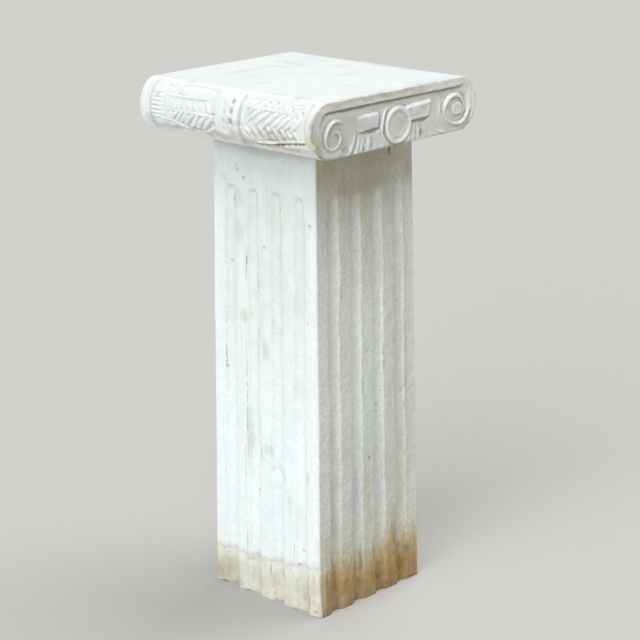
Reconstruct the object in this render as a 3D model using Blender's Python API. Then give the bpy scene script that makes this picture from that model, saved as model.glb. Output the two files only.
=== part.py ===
"""A marble pedestal: a square, tapered, fluted shaft that carries a low Ionic capital.

Metres, +Z up. The origin is the centre of the shaft's underside. The capital's volute
faces look along -Y and +Y, and its leaf-carved rolls run along Y at -X and +X.
"""

import math

import bmesh
import bpy
import numpy as np
from mathutils import Matrix, Vector

SHARP_ABOVE = 30  # degrees between two faces at an arris

# Overall sizes
HEIGHT = 0.762
SHAFT_FOOT = 0.2142
SHAFT_HEAD = 0.1984
CAPITAL_LENGTH = 0.330
CAPITAL_DEPTH = 0.337
CAPITAL_HEIGHT = 0.0757
CAPITAL_SHIFT = (-0.0044, 0.0046)
CAPITAL_SOLVER = "MANIFOLD"  # the exact one leaves edges open where so many small facets meet
JOINT_GAP = 0.0003
CAPITAL_FOOT_Z = HEIGHT - CAPITAL_HEIGHT
SHAFT_TOP_Z = CAPITAL_FOOT_Z - JOINT_GAP

# Shaft flutes, four to a face, as wide as the lands between them
FLUTES_PER_FACE = 4
FLUTE_DEPTH = 0.0065
FLUTE_TOP_Z = 0.616
FLUTE_SECTION_STEPS = 5
FLUTE_ARCH_STEPS = 4
FLUTE_TIP = 0.12  # how wide a flute still is where its arch closes

# The broken corner at the shaft's foot: at each height, how much is gone from the front and the left face
BREAK_OUTSIDE = 0.0125
BREAK_LEVELS = (
    (-0.0125, 0.0048, 0.0245),
    (0.014, 0.0040, 0.0225),
    (0.030, 0.0028, 0.0180),
    (0.047, -0.0008, -0.0008),
)

# Rolls: half an ellipse in section, sunk between collars for the carving
ROLL_REACH = 0.0296
ROLL_STEPS = 12
HALF = CAPITAL_HEIGHT / 2
FIELD_SINK = 0.003
SINK_FADE = 4  # the sinking reaches its depth a quarter of the way round from each flat
STEP_RUN = 0.0025
COLLAR = 0.0165
BELT_NEAR_Y = -0.0245
BELT_FAR_Y = 0.0175
BURIED = 0.002

# Belt of square sinkings round the middle of each roll
SINKING = 0.0085
SINKING_SPACING = 0.0145
SINKING_ROWS = 4
SINKING_COLUMNS_Y = (-0.0115, 0.0025)
SINKING_FIRST_ARC = 0.027
SINKING_STAGGER = 0.007

# Leaves on the rolls, which grow from the belt: arcs are measured down from the slab's top
MIDRIB_ARC = 0.0535
MIDRIB_WIDTHS = (0.006, 0.005, 0.004, 0.003)
MIDRIB_CREST = 0.0004
MIDRIBS = ((-0.0305, -0.148), (0.0235, 0.120))
LOBE_WIDTHS = (0.0051, 0.0085, 0.0060)
LOBE_CRESTS = (-0.0012, -0.0002, -0.0014)
LOBE_BEND = (0.45, 0.55)  # how far along and up a lobe its middle is
LOBE_SHORTENING = 0.35
LEAF_ROWS = (
    {"lobes": 8, "first_y": -0.0385, "last_y": -0.128, "root": 0.0495, "run": -0.019, "rise": -0.017},
    {"lobes": 8, "first_y": -0.0385, "last_y": -0.132, "root": 0.0575, "run": -0.013, "rise": 0.015},
    {"lobes": 6, "first_y": -0.0385, "last_y": -0.108, "root": 0.0265, "run": -0.008, "rise": -0.013},
    {"lobes": 8, "first_y": 0.0305, "last_y": 0.114, "root": 0.0495, "run": 0.008, "rise": -0.014},
    {"lobes": 8, "first_y": 0.0305, "last_y": 0.106, "root": 0.0575, "run": 0.015, "rise": 0.017},
)
PETAL_CENTRE = (0.0630, 0.0215)
PETAL_RADII = (0.0380, 0.0095)
PETAL_LEVELS = ((0, -0.005), (0.0005, -0.0012), (0.004, -0.0002))
PETAL_STEPS = 16
BORDER_WIDTH = 0.0035
BORDER_CREST = -0.0008
LEAF_BORDERS = (
    ((-0.058, 0.0800), (-0.105, 0.0740), (-0.148, 0.0670)),
    ((-0.040, 0.0295), (-0.118, 0.0300)),
    ((0.122, 0.0695), (0.104, 0.0700), (0.086, 0.0745), (0.058, 0.0820)),
)

# Ladder of short tongues beside the far collar
LADDER_Y = (0.127, 0.144)
LADDER_SPACING = 0.0068
LADDER_FIRST_ARC = 0.018
LADDER_COUNT = 8
TONGUE_WIDTH = 0.0042
TONGUE_CRESTS = (-0.0006, 0)

# Volute faces: x along the face, v up from the capital's underside
BAND = 0.0113
FACE_SINK = 0.003
FIELD_OPEN_X = 0.150
FIELD_END_STEPS = 5
ROUNDEL_CENTRE = (0.0006, 0.0272)
ROUNDEL_RADII = (0.0285, 0.0262)
ROUNDEL_STEPS = 28
ROUNDEL_LEVELS = (
    (-0.0005, -0.0050),
    (0.0005, -0.0010),
    (0.0025, 0.0012),
    (0.0050, 0.0010),
    (0.0085, -0.0018),
    (0.0165, -0.0012),
)

# Volutes: a wide turn of a ridge that then winds in to an eye
VOLUTE_STEP = 20  # degrees
VOLUTE_STEPS = 35
WINDING = (15, 25)  # the steps between which it winds in
RIDGE_CREST = 0.0002
RIDGE_THINNING = 0.45
VOLUTES = (
    {
        "centre": (-0.1290, 0.0317),
        "reach": (0.0165, 0.0190),
        "eye": (-0.1245, 0.0325),
        "eye_reach": (0.0062, 0.0062),
        "width": 0.0050,
        "start": 60,
        "turn": 1,
    },
    {
        "centre": (0.1220, 0.0325),
        "reach": (0.0268, 0.0212),
        "eye": (0.1250, 0.0320),
        "eye_reach": (0.0095, 0.0095),
        "width": 0.0075,
        "start": 125,
        "turn": -1,
    },
)

# Tabs beside the roundel: outer and inner end at the top, then at the foot
TAB_TOP_V = 0.0515
TAB_FOOT_V = 0.0290
TAB_OUT = 0.0004
TAB_SLOPE = 0.0025
TABS = ((-0.0820, -0.0320, -0.0735, -0.0350), (0.0700, 0.0220, 0.0650, 0.0300))

# Leaf tips below the tabs, and the arc and bead beside the rounds
TIPS_FIRST_X = {-1: 0.0420, 1: 0.0365}
TIP_COUNT = 5
TIP_SPACING = 0.0118
TIP_LEAN = 0.0028
TIP_TOP_V = (0.0245, 0.0245, 0.0280, 0.0315, 0.0350)
TIP_FOOT_V = 0.0025
TIP_WIDTHS = (0.0060, 0.0085, 0.0060)
TIP_CRESTS = (-0.0016, -0.0002, -0.0010)
ARC_RADII = (0.0345, 0.0330)
ARC_ANGLES = (125, 210)
ARC_STEPS = 5
ARC_WIDTH = 0.0040
ARC_CRESTS = (-0.0014, -0.0004, -0.0002, -0.0002, -0.0004, -0.0014)
BEAD = ((0.0845, 0.0500), (0.0862, 0.0370), (0.0855, 0.0240))
BEAD_WIDTHS = (0.0035, 0.0050, 0.0040)
BEAD_CRESTS = (-0.0016, -0.0002, -0.0014)


def clear_scene():
    """Removes whatever the file starts with."""
    for obj in list(bpy.data.objects):
        bpy.data.objects.remove(obj)


def marble(name, colour, roughness):
    """A plain marble material."""
    material = bpy.data.materials.new(name)
    material.use_nodes = True
    shader = material.node_tree.nodes["Principled BSDF"]
    shader.inputs["Base Color"].default_value = (*colour, 1.0)
    shader.inputs["Roughness"].default_value = roughness
    return material


def mesh_object(name, bm, material=None):
    """The closed shells in bm, as one object."""
    bmesh.ops.triangulate(bm, faces=bm.faces)
    bmesh.ops.recalc_face_normals(bm, faces=bm.faces)
    mesh = bpy.data.meshes.new(name)
    bm.to_mesh(mesh)
    bm.free()
    if material:
        mesh.materials.append(material)
    obj = bpy.data.objects.new(name, mesh)
    bpy.context.collection.objects.link(obj)
    return obj


def combine(body, tool, operation, solver="EXACT"):
    """Adds the tool to the body, or cuts it away, and hides the tool."""
    modifier = body.modifiers.new(tool.name, "BOOLEAN")
    modifier.operation = operation
    modifier.solver = solver
    modifier.object = tool
    tool.hide_render = True
    tool.display_type = "WIRE"


def finish(obj):
    """Makes an object's modifiers final and shades it smooth between its arrises."""
    bpy.context.view_layer.update()
    evaluated = obj.evaluated_get(bpy.context.evaluated_depsgraph_get())
    mesh = bpy.data.meshes.new_from_object(evaluated)
    tools = [modifier.object for modifier in obj.modifiers]
    obj.modifiers.clear()
    for tool in tools:
        bpy.data.objects.remove(tool)
    mesh.shade_smooth()
    mesh.set_sharp_from_angle(angle=math.radians(SHARP_ABOVE))
    obj.data = mesh


def bridge(bm, loops):
    """Walls between loops of corners that follow one another, with a cap at each end."""
    rows = [[bm.verts.new(point) for point in loop] for loop in loops]
    for lower, upper in zip(rows, rows[1:]):
        for i in range(len(lower)):
            j = (i + 1) % len(lower)
            bm.faces.new((lower[i], lower[j], upper[j], upper[i]))
    bm.faces.new(rows[0])
    bm.faces.new(rows[-1])


def shaft_half_width(z):
    """Half the shaft's width at a height, which tapers in a straight line."""
    return (SHAFT_FOOT + (SHAFT_HEAD - SHAFT_FOOT) * z / SHAFT_TOP_Z) / 2


def flute_section(z, centre, narrowing):
    """The outline of a flute's cutter at one height, on the face towards -Y."""
    half_width = shaft_half_width(z)
    module = 2 * half_width / (2 * FLUTES_PER_FACE + 1)
    half = module / 2 * narrowing
    depth = FLUTE_DEPTH * narrowing
    outline = []
    for i in range(FLUTE_SECTION_STEPS + 1):
        angle = math.pi * i / FLUTE_SECTION_STEPS
        x = centre * half_width - half * math.cos(angle)
        outline.append((x, -half_width + depth * math.sin(angle), z))
    outline.append((outline[-1][0], -half_width - 2 * FLUTE_DEPTH, z))
    outline.append((outline[0][0], -half_width - 2 * FLUTE_DEPTH, z))
    return outline


def flute_sections(centre):
    """A flute's cutter from below the foot up to its arched head."""
    arch = SHAFT_HEAD / (2 * FLUTES_PER_FACE + 1) / 2
    spring = FLUTE_TOP_Z - arch
    sections = [flute_section(-2 * FLUTE_DEPTH, centre, 1)]
    for i in range(FLUTE_ARCH_STEPS):
        angle = math.pi / 2 * i / FLUTE_ARCH_STEPS
        sections.append(flute_section(spring + arch * math.sin(angle), centre, math.cos(angle)))
    sections.append(flute_section(FLUTE_TOP_Z, centre, FLUTE_TIP))
    return sections


def flute_cutters():
    """All the flutes: the same four on each side of the shaft."""
    bm = bmesh.new()
    for side in range(4):
        turn = Matrix.Rotation(math.pi / 2 * side, 3, "Z")
        for i in range(FLUTES_PER_FACE):
            centre = (2 * i - FLUTES_PER_FACE + 1) * 2 / (2 * FLUTES_PER_FACE + 1)
            bridge(bm, [[turn @ Vector(p) for p in loop] for loop in flute_sections(centre)])
    return mesh_object("flute_cutters", bm)


def broken_corner_cutter():
    """What is broken off the foot of the shaft's corner at -X, -Y."""
    outside = -SHAFT_FOOT / 2 - BREAK_OUTSIDE
    bm = bmesh.new()
    bm.verts.new((outside, outside, -BREAK_OUTSIDE))
    bm.verts.new((outside, outside, BREAK_LEVELS[-1][0] + BREAK_OUTSIDE))
    for z, from_front, from_left in BREAK_LEVELS:
        edge = -shaft_half_width(max(z, 0))
        on_front = Vector((edge + from_front, edge, z))
        on_left = Vector((edge, edge + from_left, z))
        beyond = (on_front - on_left) / 2
        bm.verts.new(on_front + beyond)
        bm.verts.new(on_left - beyond)
    bmesh.ops.convex_hull(bm, input=bm.verts)
    return mesh_object("broken_corner_cutter", bm)


def make_shaft(material):
    """The fluted shaft, which stands on its own underside."""
    loops = []
    for z in (0, SHAFT_TOP_Z):
        half = shaft_half_width(z)
        loops.append([(-half, -half, z), (half, -half, z), (half, half, z), (-half, half, z)])
    bm = bmesh.new()
    bridge(bm, loops)
    shaft = mesh_object("shaft", bm, material)
    combine(shaft, flute_cutters(), "DIFFERENCE")
    combine(shaft, broken_corner_cutter(), "DIFFERENCE")
    finish(shaft)


def roll_table():
    """Angles round a roll's half ellipse and the arc from its top to each."""
    angles = np.linspace(0, math.pi, 361)
    x = ROLL_REACH * np.sin(angles)
    z = HALF * np.cos(angles)
    steps = np.hypot(np.diff(x), np.diff(z))
    return angles, np.concatenate([[0], np.cumsum(steps)])


ROLL_ANGLES, ROLL_ARCS = roll_table()
ROLL_ARC = float(ROLL_ARCS[-1])


def roll_point(side, y, angle, out):
    """A point of the roll at -X (side -1) or +X (side 1), out from its full round."""
    nx = math.sin(angle) / ROLL_REACH
    nz = math.cos(angle) / HALF
    length = math.hypot(nx, nz)
    x = CAPITAL_LENGTH / 2 - ROLL_REACH + ROLL_REACH * math.sin(angle) + out * nx / length
    return (side * x, y, HALF + HALF * math.cos(angle) + out * nz / length)


def on_roll(side):
    """Places carving by y and by the arc down from the slab's top."""

    def place(y, arc, out):
        return roll_point(side, y, float(np.interp(arc, ROLL_ARCS, ROLL_ANGLES)), out)

    return place


def on_face(side):
    """Places carving on the volute face towards -Y (side -1) or +Y (side 1)."""

    def place(x, v, out):
        return (-side * x, side * (CAPITAL_DEPTH / 2 + out), v)

    return place


def slab_section(y, sink):
    """The capital's outline at one depth, with its rolls sunk between the flats."""
    outline = []
    for side in (1, -1):
        steps = range(ROLL_STEPS + 1)
        for i in steps if side > 0 else reversed(steps):
            share = i / ROLL_STEPS
            fade = min(1, SINK_FADE * share, SINK_FADE * (1 - share))
            outline.append(roll_point(side, y, math.pi * share, -sink * fade))
    return outline


def make_slab(material):
    """The capital's body: collars at both ends, a belt in the middle, sunk between them."""
    end = CAPITAL_DEPTH / 2
    stations = [
        (-end, 0),
        (-end + COLLAR - STEP_RUN, 0),
        (-end + COLLAR, FIELD_SINK),
        (BELT_NEAR_Y - STEP_RUN, FIELD_SINK),
        (BELT_NEAR_Y, 0),
        (BELT_FAR_Y, 0),
        (BELT_FAR_Y + STEP_RUN, FIELD_SINK),
        (end - COLLAR - STEP_RUN, FIELD_SINK),
        (end - COLLAR, 0),
        (end, 0),
    ]
    bm = bmesh.new()
    bridge(bm, [slab_section(y, sink) for y, sink in stations])
    return mesh_object("capital", bm, material)


def add_ridge(bm, place, path, widths, crests, sink):
    """A ridge along a path, with its width where it leaves the ground and its crest."""
    points = [Vector(point) for point in path]
    foot = -sink - BURIED
    loops = []
    for i, point in enumerate(points):
        ahead = points[min(i + 1, len(points) - 1)] - points[max(i - 1, 0)]
        spread = (crests[i] - foot) / (crests[i] + sink)
        across = Vector((-ahead.y, ahead.x)).normalized() * widths[i] / 2 * spread
        left = point + across
        right = point - across
        loops.append([place(*left, foot), place(*point, crests[i]), place(*right, foot)])
    bridge(bm, loops)


def add_boss(bm, place, centre, radii, steps, levels):
    """A round or oval boss: at each level, how far its edge is drawn in and how far it stands out."""
    loops = []
    for inset, out in levels:
        loop = []
        for i in range(steps):
            angle = 2 * math.pi * i / steps
            x = centre[0] + (radii[0] - inset) * math.cos(angle)
            v = centre[1] + (radii[1] - inset) * math.sin(angle)
            loop.append(place(x, v, out))
        loops.append(loop)
    bridge(bm, loops)


def add_block(bm, place, outline, foot, top):
    """A flat block with this outline, from one level to another."""
    bridge(bm, [[place(*corner, level) for corner in outline] for level in (foot, top)])


def ellipse_arc(centre, radii, start, stop, steps):
    """Points along an ellipse, with angles in degrees from +x towards +v."""
    angles = np.radians(np.linspace(start, stop, steps + 1))
    return [(centre[0] + radii[0] * math.cos(a), centre[1] + radii[1] * math.sin(a)) for a in angles]


def field_outline():
    """The sunk part of a volute face, under its band, open to the underside."""
    flat = CAPITAL_LENGTH / 2 - ROLL_REACH
    radii = (ROLL_REACH - BAND, HALF - BAND)
    right = ellipse_arc((flat, HALF), radii, 0, 90, FIELD_END_STEPS)
    left = ellipse_arc((-flat, HALF), radii, 90, 180, FIELD_END_STEPS)
    return [(-FIELD_OPEN_X, -BAND), (FIELD_OPEN_X, -BAND), *right, *left]


def mix(first, last, share):
    """Each value of a pair, part of the way from first to last."""
    return tuple(a + (b - a) * share for a, b in zip(first, last))


def volute_path(volute):
    """The spiral's points, from its outer end to its eye."""
    path = []
    for i in range(VOLUTE_STEPS + 1):
        share = min(max((i - WINDING[0]) / (WINDING[1] - WINDING[0]), 0), 1)
        ease = share * share * (3 - 2 * share)
        angle = math.radians(volute["start"] + volute["turn"] * VOLUTE_STEP * i)
        centre = mix(volute["centre"], volute["eye"], ease)
        reach = mix(volute["reach"], volute["eye_reach"], ease)
        path.append((centre[0] + reach[0] * math.cos(angle), centre[1] + reach[1] * math.sin(angle)))
    return path


def add_volute(bm, place, volute):
    """A spiral ridge, which thins towards the eye and sinks away at both ends."""
    shares = [i / VOLUTE_STEPS for i in range(VOLUTE_STEPS + 1)]
    widths = [volute["width"] * (1 - RIDGE_THINNING * share) for share in shares]
    crests = [RIDGE_CREST if 0 < share < 1 else -FACE_SINK / 2 for share in shares]
    add_ridge(bm, place, volute_path(volute), widths, crests, FACE_SINK)


def add_face_rounds(bm, place):
    """The roundel in the middle of a volute face and the volute at each end."""
    add_boss(bm, place, ROUNDEL_CENTRE, ROUNDEL_RADII, ROUNDEL_STEPS, ROUNDEL_LEVELS)
    for volute in VOLUTES:
        add_volute(bm, place, volute)


def add_face_tabs(bm, place):
    """The two tabs beside the roundel, which narrow downwards and slope back at the top."""
    for outer, inner, outer_foot, inner_foot in TABS:
        below = [(inner_foot, TAB_FOOT_V), (outer_foot, TAB_FOOT_V)]
        ground = [(outer, TAB_TOP_V), (inner, TAB_TOP_V), *below]
        crest = [(outer, TAB_TOP_V - TAB_SLOPE), (inner, TAB_TOP_V - TAB_SLOPE), *below]
        loops = ((ground, -FACE_SINK - BURIED), (ground, -FACE_SINK / 2), (crest, TAB_OUT))
        bridge(bm, [[place(*corner, level) for corner in outline] for outline, level in loops])


def add_face_tips(bm, place):
    """The leaf tips that hang below the tabs and fan out towards the volutes."""
    for side, first in TIPS_FIRST_X.items():
        for i in range(TIP_COUNT):
            x = side * (first + TIP_SPACING * i)
            lean = side * TIP_LEAN * i
            top = TIP_TOP_V[i]
            path = ((x, top), (x + lean / 3, top / 2), (x + lean, TIP_FOOT_V))
            add_ridge(bm, place, path, TIP_WIDTHS, TIP_CRESTS, FACE_SINK)


def add_face_arcs(bm, place):
    """The thin arc beside the roundel and the upright bead before the right-hand volute."""
    arc = ellipse_arc(ROUNDEL_CENTRE, ARC_RADII, *ARC_ANGLES, ARC_STEPS)
    add_ridge(bm, place, arc, [ARC_WIDTH] * len(arc), ARC_CRESTS, FACE_SINK)
    add_ridge(bm, place, BEAD, BEAD_WIDTHS, BEAD_CRESTS, FACE_SINK)


def add_leaf_row(bm, place, row):
    """Lobes that leave a rib and lean away from the belt, shorter towards the leaf's end."""
    for i in range(row["lobes"]):
        share = i / (row["lobes"] - 1)
        length = 1 - LOBE_SHORTENING * share
        y = row["first_y"] + (row["last_y"] - row["first_y"]) * share
        run = row["run"] * length
        rise = row["rise"] * length
        middle = (y + run * LOBE_BEND[0], row["root"] + rise * LOBE_BEND[1])
        path = ((y, row["root"]), middle, (y + run, row["root"] + rise))
        add_ridge(bm, place, path, LOBE_WIDTHS, LOBE_CRESTS, FIELD_SINK)


def add_leaf_rows(bm, place):
    """The leaves' lobes on both sides of the belt."""
    for row in LEAF_ROWS:
        add_leaf_row(bm, place, row)


def add_leaf_lines(bm, place):
    """The leaves' midribs and the raised lines that close them above and below."""
    steps = len(MIDRIB_WIDTHS)
    for start, stop in MIDRIBS:
        path = [(start + (stop - start) * i / (steps - 1), MIDRIB_ARC) for i in range(steps)]
        add_ridge(bm, place, path, MIDRIB_WIDTHS, [MIDRIB_CREST] * steps, FIELD_SINK)
    for path in LEAF_BORDERS:
        add_ridge(bm, place, path, [BORDER_WIDTH] * len(path), [BORDER_CREST] * len(path), FIELD_SINK)


def add_petal_and_ladder(bm, place):
    """The far leaf's smooth upper petal and the ladder of tongues by the far collar."""
    add_boss(bm, place, PETAL_CENTRE, PETAL_RADII, PETAL_STEPS, PETAL_LEVELS)
    for i in range(LADDER_COUNT):
        path = [(y, LADDER_FIRST_ARC + LADDER_SPACING * i) for y in LADDER_Y]
        add_ridge(bm, place, path, (TONGUE_WIDTH, TONGUE_WIDTH), TONGUE_CRESTS, FIELD_SINK)


def add_belt_sinkings(bm, place):
    """Two columns of small square sinkings round the belt."""
    half = SINKING / 2
    square = ((-half, -half), (half, -half), (half, half), (-half, half))
    for column, y in enumerate(SINKING_COLUMNS_Y):
        for row in range(SINKING_ROWS):
            arc = SINKING_FIRST_ARC - SINKING_STAGGER * column + SINKING_SPACING * row
            corners = [(y + across, arc + down) for across, down in square]
            add_block(bm, place, corners, -FIELD_SINK, FIELD_SINK)


def carving(name, *makers):
    """One tool object: each maker with the places that it carves."""
    bm = bmesh.new()
    for maker, places in makers:
        for place in places:
            maker(bm, place)
    return mesh_object(name, bm)


def add_face_field(bm, place):
    """The sinking of one volute face."""
    add_block(bm, place, field_outline(), -FACE_SINK, BAND)


def make_capital(material):
    """The capital, a slab with carved faces and rolls, set on the shaft a little off centre."""
    capital = make_slab(material)
    faces = (on_face(-1), on_face(1))
    rolls = (on_roll(-1), on_roll(1))
    steps = (
        ("sinkings", "DIFFERENCE", (add_face_field, faces), (add_belt_sinkings, rolls)),
        ("lines", "UNION", (add_face_tabs, faces), (add_leaf_lines, rolls), (add_petal_and_ladder, rolls)),
        ("leaves", "UNION", (add_face_tips, faces), (add_leaf_rows, rolls)),
        ("rounds", "UNION", (add_face_rounds, faces)),
        ("arcs", "UNION", (add_face_arcs, faces)),
    )
    for name, operation, *makers in steps:
        combine(capital, carving(name, *makers), operation, CAPITAL_SOLVER)
    finish(capital)
    capital.location = (*CAPITAL_SHIFT, CAPITAL_FOOT_Z)


clear_scene()
make_shaft(marble("shaft_marble", (0.74, 0.76, 0.73), 0.6))
make_capital(marble("capital_marble", (0.80, 0.82, 0.81), 0.55))
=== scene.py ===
"""The marble pedestal's looks: finely carved meshes for the capital and the shaft, their
weathered stone, a pale floor, soft light and the camera.

Metres, +Z up, in the frame of the solid model. Tables of carving are in millimetres.
"""

import itertools
import math

import bpy
import numpy as np
from mathutils import Matrix, Vector
from mathutils.geometry import delaunay_2d_cdt


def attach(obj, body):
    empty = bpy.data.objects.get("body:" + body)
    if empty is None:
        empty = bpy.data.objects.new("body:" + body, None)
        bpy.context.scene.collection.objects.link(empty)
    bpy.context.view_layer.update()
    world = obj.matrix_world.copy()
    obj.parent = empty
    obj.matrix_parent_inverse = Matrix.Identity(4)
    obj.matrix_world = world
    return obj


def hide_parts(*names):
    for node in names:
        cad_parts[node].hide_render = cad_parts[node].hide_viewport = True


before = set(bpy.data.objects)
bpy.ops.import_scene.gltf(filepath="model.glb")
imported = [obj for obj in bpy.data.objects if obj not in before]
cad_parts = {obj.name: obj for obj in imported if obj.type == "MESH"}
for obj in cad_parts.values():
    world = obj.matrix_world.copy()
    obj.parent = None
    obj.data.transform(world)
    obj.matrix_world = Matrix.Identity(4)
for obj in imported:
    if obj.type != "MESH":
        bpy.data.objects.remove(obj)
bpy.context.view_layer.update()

MM = 0.001
TINY = 1e-9

# Sizes shared with the solid model
HEIGHT = 0.762
SHAFT_FOOT = 0.2142
SHAFT_HEAD = 0.1984
CAPITAL_LENGTH = 0.330
CAPITAL_DEPTH = 0.337
CAPITAL_HEIGHT = 0.0757
CAPITAL_SHIFT = (-0.0044, 0.0046)
JOINT_GAP = 0.0003
CAPITAL_FOOT_Z = HEIGHT - CAPITAL_HEIGHT
SHAFT_TOP_Z = CAPITAL_FOOT_Z - JOINT_GAP
ROLL_REACH = 0.0296
HALF = CAPITAL_HEIGHT / 2
FLAT = CAPITAL_LENGTH / 2 - ROLL_REACH
END = CAPITAL_DEPTH / 2
FLUTES_PER_FACE = 4
FLUTE_DEPTH = 0.0065
FLUTE_TOP_Z = 0.616


def smooth(value, low, high):
    """Eases from 0 at low to 1 at high."""
    share = np.clip((value - low) / (high - low), 0, 1)
    return share * share * (3 - 2 * share)


def lattice(i, j, k, seed):
    """A repeatable value from -1 to 1 for each whole-numbered point of space."""
    mixed = (i * 374761393 + j * 668265263 + k * 1442695041 + seed * 974634777) & 0xFFFFFFFF
    mixed = ((mixed ^ (mixed >> 13)) * 1274126177) & 0xFFFFFFFF
    mixed = ((mixed ^ (mixed >> 15)) * 2246822519) & 0xFFFFFFFF
    return ((mixed ^ (mixed >> 16)) & 0xFFFF) / 32767.5 - 1


def value_noise(points, size, seed):
    """Smooth noise from -1 to 1, with features of this size."""
    place = points / size + 0.37 * seed
    cell = np.floor(place).astype(np.int64)
    share = place - cell
    share = share * share * (3 - 2 * share)
    total = np.zeros(len(points))
    for corner in itertools.product((0, 1), repeat=3):
        weight = np.where(corner, share, 1 - share)
        total += weight[:, 0] * weight[:, 1] * weight[:, 2] * lattice(*(cell + corner).T, seed)
    return total


def fractal(points, size, seed, octaves=3):
    """Noise with finer noise added to it, each octave half as strong."""
    total = np.zeros(len(points))
    for octave in range(octaves):
        total += value_noise(points, size / 2**octave, seed + octave) / 2**octave
    return total / (2 - 2 / 2**octaves)


def stray(points, size, seed):
    """Noise along all three axes."""
    return np.stack([fractal(points, size, seed + n) for n in (0, 3, 6)], 1)


# Carving as heights


GRID = 0.0005


class Sheet:
    """Heights of carving over a flat layout of u and v, on a square grid."""

    def __init__(self, left, right, low, high):
        self.left = left
        self.low = low
        self.u = np.arange(left, right + GRID, GRID)
        self.v = np.arange(low, high + GRID, GRID)
        self.height = np.zeros((len(self.v), len(self.u)))

    def points(self):
        """u and v of every point of the grid."""
        return np.meshgrid(self.u, self.v)

    def window(self, low, high):
        """The part of the grid between two corners, with u and v of its points."""
        columns = slice(*np.searchsorted(self.u, (low[0], high[0])))
        rows = slice(*np.searchsorted(self.v, (low[1], high[1])))
        return (rows, columns), *np.meshgrid(self.u[columns], self.v[rows])

    def raise_to(self, part, height, where):
        """Raises part of the sheet to these heights, in places and where it is lower."""
        self.height[part] = np.where(where, np.maximum(self.height[part], height), self.height[part])

    def blurred(self, size):
        """The heights, softened over this distance."""
        reach = max(1, round(3 * size / GRID))
        offsets = np.arange(-reach, reach + 1)
        weights = np.exp(-0.5 * (offsets * GRID / size) ** 2)
        weights /= weights.sum()
        result = self.height
        for axis in (0, 1):
            padding = [(reach, reach) if a == axis else (0, 0) for a in (0, 1)]
            padded = np.pad(result, padding, "edge")
            count = result.shape[axis]
            result = sum(
                w * padded.take(range(o + reach, o + reach + count), axis)
                for o, w in zip(offsets, weights)
            )
        return result

    def sample(self, values, u, v):
        """Values of the grid at any places, between its points."""
        i = np.clip((u - self.left) / GRID, 0, len(self.u) - 1.001)
        j = np.clip((v - self.low) / GRID, 0, len(self.v) - 1.001)
        i0, j0 = i.astype(int), j.astype(int)
        fi, fj = i - i0, j - j0
        upper = values[j0, i0] * (1 - fi) + values[j0, i0 + 1] * fi
        lower = values[j0 + 1, i0] * (1 - fi) + values[j0 + 1, i0 + 1] * fi
        return upper * (1 - fj) + lower * fj


def nearest_on(path, u, v):
    """How far each point is from a path, and the share of the path at its nearest place."""
    best = np.full(u.shape, np.inf)
    share = np.zeros(u.shape)
    for i in range(len(path) - 1):
        a, step = path[i], path[i + 1] - path[i]
        t = np.clip(((u - a[0]) * step[0] + (v - a[1]) * step[1]) / (step @ step), 0, 1)
        away = np.hypot(u - a[0] - t * step[0], v - a[1] - t * step[1])
        near = away < best
        best = np.where(near, away, best)
        share = np.where(near, (i + t) / (len(path) - 1), share)
    return best, share


def rounded(path):
    """A path in metres from one in millimetres, with its corners cut twice into a curve."""
    points = np.array(path, float) * MM
    if len(points) < 3:
        return points
    for _ in range(2):
        first, second = points[:-1], points[1:]
        cut = np.stack([0.75 * first + 0.25 * second, 0.25 * first + 0.75 * second], 1).reshape(-1, 2)
        points = np.concatenate([points[:1], cut[1:-1], points[-1:]])
    return points


def along(values, share):
    """Values listed from a path's start to its end, read at shares of it."""
    return np.interp(share, np.linspace(0, 1, len(values)), values)


def by_path(sheet, path, widths):
    """The sheet's part by a path: how far across it each point is, 1 at its edge, and where along."""
    points = rounded(path)
    reach = max(widths) * MM / 2
    part, u, v = sheet.window(points.min(0) - reach, points.max(0) + reach)
    away, share = nearest_on(points, u, v)
    return part, away / (along(widths, share) * MM / 2), share


def ridge(sheet, path, widths, crests, foot, fullness=0.65):
    """Raises a rounded ridge along a path: widths and crests from its start to its end."""
    part, across, share = by_path(sheet, path, widths)
    profile = np.clip(1 - across**2, 0, 1) ** fullness
    sheet.raise_to(part, foot * MM + (along(crests, share) - foot) * MM * profile, across < 1)


def channel(sheet, path, widths, depths):
    """Cuts a rounded channel along a path, this much below what is there."""
    part, across, share = by_path(sheet, path, widths)
    sheet.height[part] -= along(depths, share) * MM * np.clip(1 - across**2, 0, 1)


def boss(sheet, centre, radii, insets, outs):
    """Raises an oval boss, with its height at each distance in from its edge."""
    centre, radii = np.array(centre) * MM, np.array(radii) * MM
    part, u, v = sheet.window(centre - radii, centre + radii)
    spread = np.hypot((u - centre[0]) / radii[0], (v - centre[1]) / radii[1])
    inset = (1 - spread) * radii.min() / MM
    sheet.raise_to(part, np.interp(inset, insets, outs) * MM, inset > 0)


def inside(corners, u, v):
    """How far in each point is from the sides of a convex outline, which runs anticlockwise."""
    corners = np.array(corners, float) * MM
    depth = np.full(u.shape, np.inf)
    for a, b in zip(corners, np.roll(corners, -1, 0)):
        edge = (b - a) / np.linalg.norm(b - a)
        depth = np.minimum(depth, edge[0] * (v - a[1]) - edge[1] * (u - a[0]))
    return depth


def arc_path(centre, radii, start, stop, step=6):
    """Points in millimetres along an ellipse, with angles in degrees from +u towards +v."""
    angles = np.radians(np.linspace(start, stop, max(2, round(abs(stop - start) / step))))
    return np.stack([centre[0] + radii[0] * np.cos(angles), centre[1] + radii[1] * np.sin(angles)], 1)


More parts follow.
